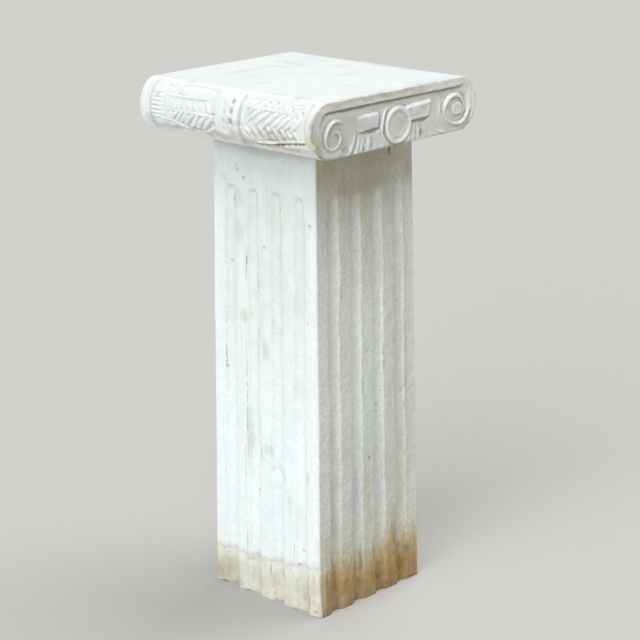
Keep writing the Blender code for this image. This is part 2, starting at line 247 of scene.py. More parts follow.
def roughen(sheet, amounts, seed):
    """Wears the carving unevenly: the size of the unevenness and how far it goes, in millimetres."""
    u, v = sheet.points()
    spots = np.stack([u, v, np.zeros_like(u)], -1).reshape(-1, 3)
    for n, (size, amount) in enumerate(amounts):
        sheet.height += amount * MM * fractal(spots, size * MM, seed + 3 * n, 2).reshape(u.shape)


# The volute faces


FACE_SINK = 3.0
# Ridges of the volutes: a path from its outer end inwards, then widths and crests
VOLUTE_RIDGES = (
    (
        (
            (-105, 40.5), (-109, 45.4), (-115.5, 49), (-123.5, 49.8), (-131.5, 46.6), (-138, 39.4),
            (-141.6, 29), (-138.6, 17.4), (-129, 11.4), (-119.5, 13.8), (-113.2, 20.5), (-111.8, 28),
            (-115, 33.6), (-121.5, 35.6), (-126.5, 33), (-126, 28), (-121, 26.4),
        ),
        (2.4, 4.2, 5, 5, 4.6, 4, 3.6, 4.2, 4.6, 4.4, 3.2, 2.6, 2),
        (-2.2, 0.4, 1.4, 1.6, 1.4, 0.4, -0.8, 0.6, 1.4, 0.8, -1.2, -2, -2.6),
    ),
    (
        (
            (149, 53), (151.6, 44), (151.6, 33), (148, 21), (139.5, 11.6), (128, 9.4), (116, 12),
            (105, 18), (99, 26), (97.6, 34), (101.5, 42.8), (110, 49.6), (120, 52), (131, 49.4),
            (139, 43), (142.6, 34), (140.4, 24), (132.5, 18), (124, 18.4),
        ),
        (2.4, 4.4, 5.8, 5.8, 5.2, 4.4, 3.4, 4, 7.4, 9.8, 8.6, 6.4, 4.8, 3.2, 2.6, 2.6, 2.2),
        (-1.4, 0.2, 1, 1.1, 1, 0.3, -1.4, -1.6, 0.2, 1.6, 1.9, 1.5, 0.2, -1.4, -1.5, -1.1, -2),
    ),
)
# The ground inside the volutes, hollowed: centre and reach
DISHES = (((-126.5, 31), (15.5, 19)), ((124.5, 31), (27, 20.5)))
DISH_DEPTH = 0.7
# The right volute's eye: centre, radii, then its height at each distance in from its edge
EYE = ((127.5, 31.2), (11.8, 10), (0, 1, 2.6, 4.6, 7, 11), (-2.9, -1.7, -0.7, -1.3, -1.6, -1.5))
# Tabs: corners anticlockwise from the upper left, and how far their left ends take to rise
TABS = (
    (((-92, 52), (-78, 27.5), (-38.8, 29.5), (-37, 52)), 32),
    (((14, 52.4), (22, 29), (64.5, 29.5), (70.5, 55.4)), 6),
)
# Undercuts below and beside the tabs: a path, then its widths and depths
UNDERCUTS = (
    (((-77, 26), (-60, 26.4), (-49, 26.4), (-37.5, 27.2)), (1.6, 6, 9.4, 7.4), (0.8, 2.4, 3.2, 2.8)),
    (((30, 27), (44, 26.8), (56, 27.4), (66.5, 28.4)), (3, 6.4, 7.4, 4.4), (1.6, 2.8, 3.2, 2.2)),
    (((-36.4, 51), (-35.8, 42), (-35.6, 32)), (2, 4, 2.4), (0.6, 1.8, 0.8)),
    (((-21.5, 52), (-27, 44), (-28, 34)), (1.6, 3, 1.8), (0.8, 1.6, 0.6)),
    (((71, 50), (67, 40), (65.5, 31)), (1.6, 3.6, 2.4), (0.4, 1.2, 0.8)),
)
# Leaf tips below the tabs: a path from the top down, then widths and crests
TIPS = (
    (((-81.5, 38), (-84, 24), (-88, 12), (-97.5, 1)), (3, 7.8, 9, 8.4), (-2.3, -1.2, -0.6, 0.1)),
    (((-75.5, 27), (-76.5, 15), (-82, 1)), (5, 9.6, 9), (-2.2, -1.4, -0.3)),
    (((-68, 26), (-69, 14), (-72.5, 1)), (6, 9.6, 9), (-2.2, -1.2, -1)),
    (((-56, 25), (-56, 13), (-58.5, 1)), (6, 10.5, 10.5), (-2.2, -0.7, -1.4)),
    (((-44.5, 24), (-44, 12), (-45.5, 1)), (7, 11, 12), (-2.5, -1.6, -1.2)),
    (((-34, 20), (-32, 10), (-29, 1)), (6, 9, 9), (-2.5, -1.9, -1.4)),
    (((29.5, 17), (26, 8), (21, 1)), (5, 7.4, 8), (-2.2, -1.3, -0.9)),
    (((35, 24), (35, 12), (33, 1)), (6, 8.4, 9), (-2.2, -1.4, -0.9)),
    (((43.5, 24), (43.5, 13), (42, 1)), (6, 8.4, 9), (-2, -0.7, -1)),
    (((57, 25), (57.5, 13), (56.5, 1)), (6, 9, 10), (-2.2, -0.8, -0.9)),
    (((68.5, 28), (70, 14), (72, 1)), (6, 9, 9), (-2.5, -2, -1.6)),
    (((82, 9), (91, 4), (102, 1)), (3, 5, 4), (-2, -0.6, -1.4)),
)
# Lines cut between the leaf tips: a path, then widths and depths
TIP_LINES = (
    (((-79, 32), (-79.6, 20), (-83, 10), (-88.5, 1)), (1.6, 2.8, 3.2, 3), (0.6, 1.5, 1.6, 1.2)),
    (((-66, 12), (-67.5, 1)), (1.6, 3), (0.4, 1.4)),
    (((-62, 25), (-62, 12), (-64.5, 1)), (1.8, 2.2, 1.8), (0.8, 0.9, 0.4)),
    (((30.5, 27), (30, 14)), (2.4, 2.4), (1.3, 1)), (((39.5, 22), (39, 8)), (1.6, 2), (0.5, 0.8)),
    (((49.8, 19), (50, 6)), (3.6, 5.4), (0.6, 1.5)),
)
# Thin ridges round the roundel and the right volute: a path, then widths and crests
FACE_LINES = (
    (arc_path((2, 27), (33, 34.4), 130, 204), (2.8, 5.2, 5.2, 2.6), (-0.4, 1.2, 1, -1.5)),
    (((84.5, 51.5), (87.5, 44), (88, 34), (87, 23)), (2.5, 5, 5, 3), (-2, -0.4, -0.2, -1.9)),
    (arc_path((122, 34), (39.2, 35), -52, 46), (2.4, 8.6, 9.6, 8.6, 2.4), (-2, 0.6, 0.9, 0.5, -1)),
    (arc_path((122, 32.5), (32, 26), 178, 238), (2, 3.2, 2.4), (-2.7, -1.9, -2.5)),
    (arc_path((122, 32.5), (37, 30), 186, 226), (2, 2.8, 2.2), (-2.8, -2.1, -2.6)),
)
# The groove under the band: where its straight part runs, then widths and depths
GROOVE_LEVEL = 61.7
GROOVE_STOPS = range(128, -130, -22)
GROOVE_TURN = arc_path((-135.4, 36.6), (17.4, 24.8), 90, 168)
GROOVE = ((0.8, 4, 4.2, 4.2, 4.2, 4, 3.6, 1), (0.2, 2, 2.4, 2.6, 2.6, 2.6, 1.8, 0.1))
# The roundel's centre, radii, then its height at each distance in from its edge
ROUNDEL = (
    (2, 27), (27, 26.4),
    (0, 0.6, 2.2, 5.4, 6.8, 9, 16, 26), (-3.4, -1, 1.4, 1.1, -0.1, -0.8, -0.7, -0.5),
)
# The unevenness of the faces and of the rolls: its size and how far it goes
FACE_WEAR = ((14, 0.28), (3.6, 0.22))
ROLL_WEAR = ((10, 0.45), (3.6, 0.36))


def face_ground(u, v):
    """How far the face's ground lies below its band, in millimetres."""
    beyond = np.maximum(np.abs(u) - FLAT / MM, 0)
    above = np.maximum(v - HALF / MM, 0)
    spread = np.hypot(beyond / (ROLL_REACH / MM), above / (HALF / MM))
    slope = np.hypot(beyond / (ROLL_REACH / MM) ** 2, above / (HALF / MM) ** 2) / np.maximum(spread, 0.01)
    inset = np.where(beyond > 0, (1 - spread) / np.maximum(slope, 0.02), CAPITAL_HEIGHT / MM - v)
    # The band's step is sharp above and fades where the ends turn down
    right = u > 0
    ends = smooth(np.abs(u), np.where(right, 128, 120), np.where(right, 146, 134))
    fading = ends * (1 - smooth(v, np.where(right, 60, 34), np.where(right, 74, 58)))
    step_start = 11.4 - np.where(right, 7.6, 4.5) * fading
    step_stop = 13.0 + np.where(right, -1.4, 7.0) * fading
    ground = -FACE_SINK + 0.8 * smooth(62 - v, 0, 9) * (1 - ends)
    # Round the right volute's far side the ground rises to the border
    ground = ground * (1 - 0.85 * smooth(u + 9 * smooth(v, 46, 58), 139, 152) * smooth(v, 14, 30))
    return ground * smooth(inset, step_start, step_stop)


def face_sheet():
    """The carving of a volute face: u along the face, v up from the capital's underside."""
    sheet = Sheet(-CAPITAL_LENGTH / 2, CAPITAL_LENGTH / 2, 0, CAPITAL_HEIGHT)
    u, v = (a / MM for a in sheet.points())
    sheet.height = face_ground(u, v) * MM
    straight = [(x, GROOVE_LEVEL + 0.006 * min(x + 60, 0)) for x in GROOVE_STOPS]
    channel(sheet, np.concatenate([straight, GROOVE_TURN]), *GROOVE)
    for centre, reach in DISHES:
        dish = np.hypot((u - centre[0]) / reach[0], (v - centre[1]) / reach[1])
        sheet.height -= DISH_DEPTH * MM * (1 - smooth(dish, 0.2, 1.0))
    for path, widths, crests in VOLUTE_RIDGES:
        ridge(sheet, path, widths, crests, -FACE_SINK)
    boss(sheet, *EYE)
    for corners, rise in TABS:
        depth = inside(corners, u * MM, v * MM) / MM
        (start, top), (stop, far_top) = corners[0], corners[3]
        below_top = np.interp(u, (start, stop), (top, far_top)) - v
        level = 1.3 - 4.1 * (1 - smooth(below_top, 0, 5.2)) - 0.8 * smooth(below_top, 6, 22)
        share = smooth(depth, 0, 0.9) * smooth(u - start, 1.0, 1.0 + rise)
        raised = -FACE_SINK + (level + FACE_SINK) * share
        sheet.raise_to(slice(None), raised * MM, depth > 0)
    for path, widths, crests in TIPS:
        ridge(sheet, path, widths, crests, -FACE_SINK - 0.6)
    for path, widths, crests in FACE_LINES:
        ridge(sheet, path, widths, crests, -FACE_SINK)
    for path, widths, depths in UNDERCUTS + TIP_LINES:
        channel(sheet, path, widths, depths)
    boss(sheet, *ROUNDEL)
    roughen(sheet, FACE_WEAR, 61)
    return sheet


# The leaf rolls


FIELD_SINK = 3.0
COLLAR = 16.5
BELT = (-24.5, 17.5)
# Rows of leaf lobes: y of their tips, arc of their roots, run and rise to the tips, crest and foot
LOBE_ROWS = (
    ((-61, -78, -94, -108, -119.5, -130, -139.5), 53.5, -23, -21, 0, -3.8),
    ((-51, -64, -78, -92, -105, -117, -128.5, -139), 55, -13, 17.5, -0.4, -3.9),
    ((-52, -66, -80, -94, -107, -118), 29, -8, -11, -1.4, -3.4),
    ((37, 50, 62.5, 75, 86, 97, 107, 116), 51, 10, -15, -1.5, -2.7),
    ((43, 56, 68, 79.5, 90, 100, 109.5, 118), 56, 17, 18, 0.1, -4.2),
)
LOBE_SHORTENING = 0.3
LOBE_WIDTHS = np.array((4.6, 8.4, 9.6, 7.4))
# Lines on the rolls: a path of y and arc, then widths and crests
ROLL_LINES = (
    (((23.5, 53.5), (60, 52.8), (120, 53)), (5, 2.6, 2), (-0.2, -1.6, -2.2)),
    (
        ((-50, 82.5), (-64, 80.5), (-90, 76.2), (-100, 73.3), (-125, 69.5), (-149, 66.5)),
        (2.6, 3.8, 4.2, 4.2, 4, 3.4), (-1, 0.3, 0.5, 0.5, 0.4, -0.2),
    ),
    (((-40, 29.5), (-80, 29), (-118, 30)), (2.2, 2.8, 2.2), (-1.6, -1.1, -1.6)),
    (
        ((128, 68.5), (112, 68.5), (100, 69.5), (86, 75), (58, 83)), (2.6, 3.6, 4.2, 4.2, 3),
        (-1, 0, 0.4, 0.3, -0.8),
    ),
    (((118, 31.5), (70, 31.5), (34, 29)), (2.2, 3, 2.4), (-1.4, -0.8, -1.3)),
    (((17, 58.5), (28, 57), (40, 56.5)), (2.6, 3.4, 2.6), (-0.8, -0.8, -1.6)),
    (((126, 12), (116, 10), (113, 17), (120, 22)), (2.4, 3, 3, 2.2), (-1.6, -1, -1, -1.6)),
    (((-110, 27), (-122, 20), (-140, 16)), (3, 5, 3), (-1.8, -1.2, -2)),
    (((-36, 61), (-44, 66), (-52, 74)), (3, 4, 2.4), (-1.2, 0, -1.4)),
    (((-31, 61), (-36, 70), (-48, 77.5)), (3, 3.6, 2.4), (-1.4, -0.2, -1.4)),
    (((22, 70), (36, 78), (54, 84)), (3, 4.4, 2.6), (-1.8, -0.6, -1.8)),
)
# A long petal above the far leaves: centre, radii, then its height at each distance in
PETAL = ((64, 20.5), (39, 10.5), (0, 0.8, 3.5, 9.5), (-2.8, -2.1, -1.2, -0.6))
BELT_LINES = (
    (((5, 45), (-5, 44.4), (-16.5, 43.6)), (1.8, 2.6, 1.8), (-0.2, 0.5, 0.3)),
    (((5, 63), (-5, 62.4), (-16.5, 61.4)), (1.8, 2.8, 1.8), (-0.2, 0.6, 0.4)),
    (((-20, 10), (-20.5, 50), (-20, 96)), (6.4, 6.8, 6.4), (0.4, 1, 0.4)),
    (((14.6, 40), (13.6, 60), (14.2, 94)), (3, 5, 5), (-0.6, 0.3, 0.2)),
    (((-6.6, 18), (-6.8, 50), (-6.6, 86)), (3, 3.6, 3), (0, 0.3, 0)),
)
BELT_FOOT = -0.6
# Lines cut before the belt is carved, then those cut after it: a path, widths and depths
FIELD_CUTS = (
    (((30, 24), (62, 22), (98, 22.5)), (1.5, 3, 1.5), (0.2, 0.5, 0.2)),
    (((12, 45), (24, 49.5), (35, 53)), (1, 3, 1.6), (0.2, 1.4, 0.4)),
)
COLLAR_CUTS = (
    (((155.5, 6), (155, 50), (155.5, 92)), (4, 9.4, 9, 4), (0.5, 1.7, 1.5, 0.4)),
    (((-151.5, 14), (-152, 50), (-151, 90)), (1, 3.4, 3.2, 1), (0.1, 1.2, 1.2, 0.1)),
)
COLLAR_RIM = (((-158.5, 6), (-158.5, 98)), (7, 7), (0.3, 0.6, 0.3), -0.4)
# Both lower borders overhang ragged undercuts, and short curls are cut above the near leaves
HOOKS = (
    ((-98, 18), (-103, 22), (-104.5, 28), (-100, 30.5)),
    ((-134, 31), (-138, 24), (-141, 29), (-138, 33)), ((-70, 14), (-76, 17), (-82, 25)),
    ((-84, 12), (-90, 16), (-95, 24)), ((-48, 34), (-51, 39), (-47, 43)),
    ((-115, 17), (-120, 22), (-124, 29)),
)
LOWER_CUTS = (
    (((-27, 14), (-28.4, 50), (-28, 66)), (2, 4.6, 2), (0.2, 1.2, 0.2)),
    (
        [(-54 - 8 * i, 87 - 1.42 * i + (1.6 if i % 2 else -0.8)) for i in range(13)],
        (2, 6.2, 5.6, 6.6, 5, 6.2, 4.4), (0.5, 3.4, 3.6, 3.6, 3.4, 3.4, 2.4),
    ),
    *((path, (0.8, 3, 3, 0.8), (0.2, 1.6, 1.6, 0.2)) for path in HOOKS),
    (
        ((128, 73.5), (112, 73.4), (100, 74.6), (86, 79.6), (60, 86.5)),
        (2, 5, 5.4, 5, 2), (0.5, 2.2, 2.4, 2, 0.5),
    ),
)
# Sinkings in the belt: y, arc and depth
SINKINGS = (
    (-12.4, 26.5, 2), (-12.6, 40.2, 3), (-12.8, 55, 3.2), (-12.4, 69, 0.6), (1, 19, 0.4),
    (1, 30.5, 0.5), (1.2, 41.5, 0.8), (1.5, 54.5, 0.9), (1, 67, 0.7),
)
# The ladder by the far collar: its two sides, then the arc and height of each rung
LADDER = (127.5, 146)
RUNGS = ((27, -2.2), (34.4, -1.6), (41, -1.2), (47.4, -0.7), (53.8, -0.5), (60.2, -0.5), (66.4, -1))


def leaf_lobes(sheet):
    """The leaves' lobes, each a rounded finger with a shallow vein, no two quite alike."""
    dice = np.random.default_rng(23)
    for tips, root, run, rise, crest, foot in LOBE_ROWS:
        for i, tip in enumerate(tips):
            size = 1 - LOBE_SHORTENING * i / (len(tips) - 1)
            bend, slip, stout, lift = dice.uniform(-1, 1, 4)
            path = (
                (tip - run * size + 1.2 * slip, root + 0.8 * bend),
                (tip - run * size * 0.5 + 1.6 * bend, root + rise * size * (0.5 + 0.08 * slip)),
                (tip + 0.8 * stout, root + rise * size + 1.8 * slip),
            )
            top = crest + 0.5 * lift
            widths = LOBE_WIDTHS * (1 + 0.16 * stout)
            ridge(sheet, path, widths, (top - 1.0, top, top, top - 0.7), foot, 0.75)
            channel(sheet, path, (0.4, 2.0, 2.2, 0.4), (0.1, 0.9 + 0.3 * bend, 0.9 - 0.3 * bend, 0.0))


def roll_sheet(arc_length):
    """The carving of a roll: u along the depth, v the arc down from the slab's top."""
    sheet = Sheet(-END, END, 0, arc_length)
    y, arc = (a / MM for a in sheet.points())
    length = arc_length / MM
    fade = smooth(arc, 0, 17) * (1 - smooth(arc, length - 20, length))
    collars = smooth(np.abs(y), END / MM - COLLAR - 1.2, END / MM - COLLAR + 0.8)
    # The belt's far edge is hardly there above and firm below
    loose = 1 - smooth(arc, 44, 64)
    belt = 1 - smooth(y, BELT[1] - 5 * loose, BELT[1] + 1.6 + 11 * loose)
    belt = smooth(y, BELT[0] - 1.6, BELT[0]) * belt
    sheet.height = -FIELD_SINK * MM * fade * (1 - np.maximum(collars, belt))
    leaf_lobes(sheet)
    for path, widths, crests in ROLL_LINES:
        ridge(sheet, path, widths, crests, -FIELD_SINK)
    boss(sheet, *PETAL)
    for cut in FIELD_CUTS:
        channel(sheet, *cut)
    for path, widths, crests in BELT_LINES:
        ridge(sheet, path, widths, crests, BELT_FOOT)
    for centre, level, depth in SINKINGS:
        away = np.hypot(np.maximum(np.abs(y - centre) - 1.2, 0), np.maximum(np.abs(arc - level) - 2.4, 0))
        sheet.height -= depth * MM * (1 - smooth(away, 0.4, 2.8))
    for level, crest in RUNGS:
        ridge(sheet, [(y, level) for y in LADDER], (4.2, 4.2), (-1.8, crest), -FIELD_SINK - 0.5)
    for cut in COLLAR_CUTS:
        channel(sheet, *cut)
    ridge(sheet, *COLLAR_RIM)
    for cut in LOWER_CUTS:
        channel(sheet, *cut)
    roughen(sheet, ROLL_WEAR, 71)
    return sheet


# Meshes


class Surface:
    """Vertices shared between the patches of one closed mesh."""

    def __init__(self):
        self.places = []
        self.faces = []
        self.count = 0

    def add(self, places):
        """Adds vertices and returns their numbers."""
        places = np.asarray(places, float).reshape(-1, 3)
        self.places.append(places)
        numbers = np.arange(self.count, self.count + len(places))
        self.count += len(places)
        return numbers

    def quads(self, grid, flip):
        """Covers a grid of vertex numbers with quads."""
        a, b, c, d = grid[:-1, :-1], grid[1:, :-1], grid[1:, 1:], grid[:-1, 1:]
        corners = np.stack([a, b, c, d], -1).reshape(-1, 4)
        self.faces.append(corners[:, ::-1] if flip else corners)

    def fill(self, boundary, outline, inner, axis, level, outward):
        """Fills a flat patch: boundary vertices, their outline in the plane, and inner points."""
        numbers = np.concatenate([boundary, self.add(np.insert(inner, axis, level, 1))])
        flat = [Vector(p) for p in np.concatenate([outline, inner])]
        edges = [(i, (i + 1) % len(outline)) for i in range(len(outline))]
        found = delaunay_2d_cdt(flat, edges, [], 1, 1e-7)
        origins = [originals[0] for originals in found[3]]
        corners = np.array([[origins[i] for i in face] for face in found[2]])
        a, b, c = (np.array([flat[i] for i in corners[:, k]]) for k in range(3))
        turn = (b[:, 0] - a[:, 0]) * (c[:, 1] - a[:, 1]) - (b[:, 1] - a[:, 1]) * (c[:, 0] - a[:, 0])
        if (turn.mean() > 0) != outward:
            corners = corners[:, ::-1]
        self.faces.append(numbers[corners])
        return numbers

    def close(self):
        """Joins the vertices into one array that can be moved."""
        self.places = np.concatenate(self.places)

    def to_object(self, name, material, marks):
        """A smooth-shaded object, with the marks as attributes."""
        mesh = bpy.data.meshes.new(name)
        mesh.from_pydata(self.places.tolist(), [], [f for part in self.faces for f in part.tolist()])
        mesh.validate()
        mesh.shade_smooth()
        for key, values in marks.items():
            layer = mesh.attributes.new(key, "FLOAT", "POINT")
            layer.data.foreach_set("value", np.clip(values, 0, 1).astype(np.float32))
        mesh.materials.append(material)
        obj = bpy.data.objects.new(name, mesh)
        bpy.context.scene.collection.objects.link(obj)
        return obj


def roll_table():
    """Angles round a roll's half ellipse and the arc from its top to each."""
    angles = np.linspace(0, math.pi, 1441)
    steps = np.hypot(np.diff(ROLL_REACH * np.sin(angles)), np.diff(HALF * np.cos(angles)))
    return angles, np.concatenate([[0], np.cumsum(steps)])


ROLL_ANGLES, ROLL_ARCS = roll_table()
ROLL_ARC = float(ROLL_ARCS[-1])


def spaced(low, high, step, close=()):
    """Even steps between two bounds, with extra ones close to both."""
    count = max(1, round((high - low - 2 * sum(close)) / step))
    edges = np.concatenate([[0], np.cumsum(close)])
    middle = np.linspace(low + edges[-1], high - edges[-1], count + 1)
    return np.concatenate([low + edges[:-1], middle, high - edges[:-1][::-1]])


def outline_inset(x, v):
    """How far in from the capital's outline, seen end on, and the outline's outward direction."""
    beyond = np.maximum(np.abs(x) - FLAT, 0)
    up = v - HALF
    spread = np.hypot(beyond / ROLL_REACH, up / HALF)
    gx, gz = beyond / ROLL_REACH**2, up / HALF**2
    slope = np.maximum(np.hypot(gx, gz), TINY)
    inset = np.where(beyond > 0, (1 - spread) * spread / slope, HALF - np.abs(up))
    return inset, np.sign(x) * gx / slope, gz / slope


def grid_inside(x0, x1, z0, z1, step, keep):
    """Points of a staggered grid that a test keeps."""
    rows = np.arange(z0 + step / 2, z1, step * 0.9)
    points = []
    for j, z in enumerate(rows):
        points.append(beside(np.arange(x0 + (step / 4 if j % 2 else step * 0.75), x1, step), z))
    points = np.concatenate(points)
    return points[keep(points[:, 0], points[:, 1])]


def beside(x, value):
    """Points that pair each x with one value."""
    return np.stack([x, np.full_like(x, value)], 1)


def joined(first, second, third, fourth):
    """An outline of four sides, the last two turned round: its vertex numbers and its points."""
    sides = (first, second, [part[::-1] for part in third], [part[::-1] for part in fourth])
    return [np.concatenate(parts) for parts in zip(*sides)]


EDGE_STEPS = (0.0005, 0.0006, 0.0008)
# Each side or end of the capital with its mesh's step: finer on the two that show their carving best
ENDS = ((-1, 0.00105), (1, 0.0016))
TOP_STEP = 0.0062
TOP_CLEAR = 0.004


def make_capital_surface():
    """The capital before its carving: faces, rolls, top and underside in one closed mesh."""
    surface = Surface()
    rolls = {}
    for side, step in ENDS:
        y = spaced(-END, END, step, EDGE_STEPS)
        arcs = np.linspace(0, ROLL_ARC, 2 * round(ROLL_ARC / step / 2) + 1)
        angles = np.interp(arcs, ROLL_ARCS, ROLL_ANGLES)
        x = side * (FLAT + ROLL_REACH * np.sin(angles))
        z = HALF + HALF * np.cos(angles)
        grid = np.stack(np.broadcast_arrays(x, y[:, None], z), -1)
        numbers = surface.add(grid).reshape(len(y), len(x))
        surface.quads(numbers, side > 0)
        rolls[side] = {
            "y": y, "arcs": arcs, "angles": angles, "end": np.stack([x, z], 1), "numbers": numbers,
        }
    edges = {}
    for end, step in ENDS:
        x = spaced(-FLAT, FLAT, step)[1:-1]
        for level in (0, 1):
            places = np.insert(beside(x, end * END), 2, level * CAPITAL_HEIGHT, 1)
            edges[end, level] = (x, surface.add(places))
    patches = {}
    left, right = rolls[-1], rolls[1]
    for end, step in ENDS:
        row = 0 if end < 0 else -1
        (x_top, top), (x_low, low) = edges[end, 1], edges[end, 0]
        boundary, outline = joined(
            (top, beside(x_top, CAPITAL_HEIGHT)), (right["numbers"][row], right["end"]),
            (low, beside(x_low, 0)), (left["numbers"][row], left["end"]),
        )
        _, nx, nz = outline_inset(outline[:, 0] * 0.99999, outline[:, 1])
        flat_part = np.abs(outline[:, 0]) < FLAT
        nx = np.where(flat_part, 0, nx)
        nz = np.where(flat_part, np.sign(outline[:, 1] - HALF), nz)
        rings = [outline - inset * np.stack([nx, nz], 1) for inset in np.cumsum(EDGE_STEPS)]
        clear = sum(EDGE_STEPS) + step * 0.6
        inner = grid_inside(
            -CAPITAL_LENGTH / 2, CAPITAL_LENGTH / 2, 0, CAPITAL_HEIGHT, step,
            lambda x, v, clear=clear: outline_inset(x, v)[0] > clear,
        )
        inner = np.concatenate([*rings, inner])
        patches[end] = surface.fill(boundary, outline, inner, 1, end * END, end < 0)
    for level in (0, 1):
        column = level - 1
        (x_front, front), (x_back, back) = edges[-1, level], edges[1, level]
        boundary, outline = joined(
            (front, beside(x_front, -END)),
            (right["numbers"][:, column], beside(right["y"], FLAT)[:, ::-1]),
            (back, beside(x_back, END)),
            (left["numbers"][:, column], beside(left["y"], -FLAT)[:, ::-1]),
        )
        inner = grid_inside(
            -FLAT, FLAT, -END, END, TOP_STEP,
            lambda x, y: (np.abs(x) < FLAT - TOP_CLEAR) & (np.abs(y) < END - TOP_CLEAR),
        )
        rows = []
        for inset in np.cumsum(EDGE_STEPS):
            rows += [beside(x_front, -END + inset), beside(x_back, END - inset)]
        inner = np.concatenate([*rows, inner])
        surface.fill(boundary, outline, inner, 2, level * CAPITAL_HEIGHT, level == 1)
    surface.close()
    return surface, rolls, patches


def rounding(radius, first, second):
    """How far an arris of this radius draws back from its two sides, this far in from them."""
    a, b = radius - first, radius - second
    length = np.maximum(np.hypot(a, b), TINY)
    near = (a > 0) & (b > 0)
    return [np.where(near, side - side / length * radius, 0) for side in (a, b)]


def soften_arris(places, radius):
    """Rounds the arrises where the volute faces meet the rest, over a radius at each vertex."""
    inset, nx, nz = outline_inset(places[:, 0], places[:, 2])
    deep = END - np.abs(places[:, 1])
    shift_face, shift_out = rounding(radius, deep, np.maximum(inset, 0))
    return places - np.stack([nx * shift_out, np.sign(places[:, 1]) * shift_face, nz * shift_out], 1)


# How far the left and the right roll swell towards the front face, at mid height, and over what depth
SWELL = (0.0048, 0.0016)
SWELL_RUN = 0.021
SWELL_RIM = 0.0115


def roll_swell(places):
    """How far the rolls' front ends swell outward, and the face's rims with them."""
    x, y, z = places.T
    inset, _, _ = outline_inset(x, z)
    share = np.clip(1 - (y + END) / SWELL_RUN, 0, 1) ** 1.6 * (1 - smooth(inset, 0.0005, SWELL_RIM))
    share *= smooth(z, 0.003, 0.026) * (1 - smooth(z, 0.054, 0.076))
    return share * (smooth(x, 0.08, 0.13) * SWELL[1] - smooth(-x, 0.08, 0.13) * SWELL[0])


def chip(places, marks, centre, outward, run, length, depth, seed):
    """Knocks a chip out of an arris: its place, which way it faces, and the arris's direction."""
    centre, outward, run = (np.array(a, float) for a in (centre, outward, run))
    outward /= np.linalg.norm(outward)
    from_centre = places - centre
    near = np.linalg.norm(from_centre, axis=1) < length * 1.6 + 3 * depth
    local = from_centre[near]
    rough = 1 + 0.35 * fractal(places[near], length * 0.4 + 0.001, seed, 2)
    fall = 1 - (local @ run / length) ** 2
    over = np.maximum(local @ outward + depth * fall * rough, 0) * (fall > 0)
    places[near] -= over[:, None] * outward
    marks[near] = np.maximum(marks[near], np.clip(over / (depth * 0.5), 0, 1))


# Chips on the capital: place on it in millimetres (z from the underside), outward, run, length, depth
CAPITAL_CHIPS = (
    ((87.5, -168.5, 75.7), (0, -1, 1), (1, 0, 0), 3.6, 1.9),
    ((-107, -168.5, 75.7), (0, -1, 1), (1, 0, 0), 3, 1.2),
    ((-53, -168.5, 75.7), (0, -1, 1), (1, 0, 0), 2.6, 1.1),
    ((20, -168.5, 75.7), (0, -1, 1), (1, 0, 0), 5, 0.7),
    ((-151, -168.5, 70), (-1, -1, 0.8), (0.7, 0, 0.7), 4, 1.2),
    ((-161.5, -168.5, 24), (-1, -1, -0.4), (0.2, 0, 0.9), 5.5, 1.6),
    ((157, -168.5, 11), (0.6, -1, -0.8), (0.7, 0, 0.6), 7, 2.6),
    ((148, -168.5, 4.5), (0.4, -1, -1), (0.9, 0, 0.3), 6, 2.2),
    ((163, -168.5, 24), (1, -1, -0.3), (0.2, 0, 0.9), 5, 1.8),
    ((-60, -168.5, 0), (0, -1, -1), (1, 0, 0), 8, 0.9),
    ((-100, -168.5, 0), (0, -1, -1), (1, 0, 0), 5, 1.3),
    ((60, -168.5, 0), (0, -1, -1), (1, 0, 0), 7, 1), ((128, 168.5, 75.7), (0, 1, 1), (1, 0, 0), 6, 2.2),
)


def arris_wear(places, marks, count, seed):
    """Small random nicks along the arrises of the two volute faces."""
    dice = np.random.default_rng(seed)
    for n in range(count):
        end = -1 if dice.random() < 0.6 else 1
        along_outline = dice.random()
        if along_outline < 0.65:
            x = dice.uniform(-FLAT, FLAT)
            nx, run = 0, (1, 0, 0)
            z, nz = (CAPITAL_HEIGHT, 1) if along_outline < 0.35 else (0, -1)
        else:
            angle = dice.uniform(0.1, math.pi - 0.1)
            side = dice.choice((-1, 1))
            nx, nz = side * math.sin(angle), math.cos(angle)
            x, z = side * (FLAT + ROLL_REACH * math.sin(angle)), HALF + HALF * math.cos(angle)
            run = (nz, 0, -nx)
        length, depth = dice.uniform(1.5, 5.0) * MM, dice.uniform(0.25, 0.9) * MM
        chip(places, marks, (x, end * END, z), (nx, end, nz), run, length, depth, seed + n)


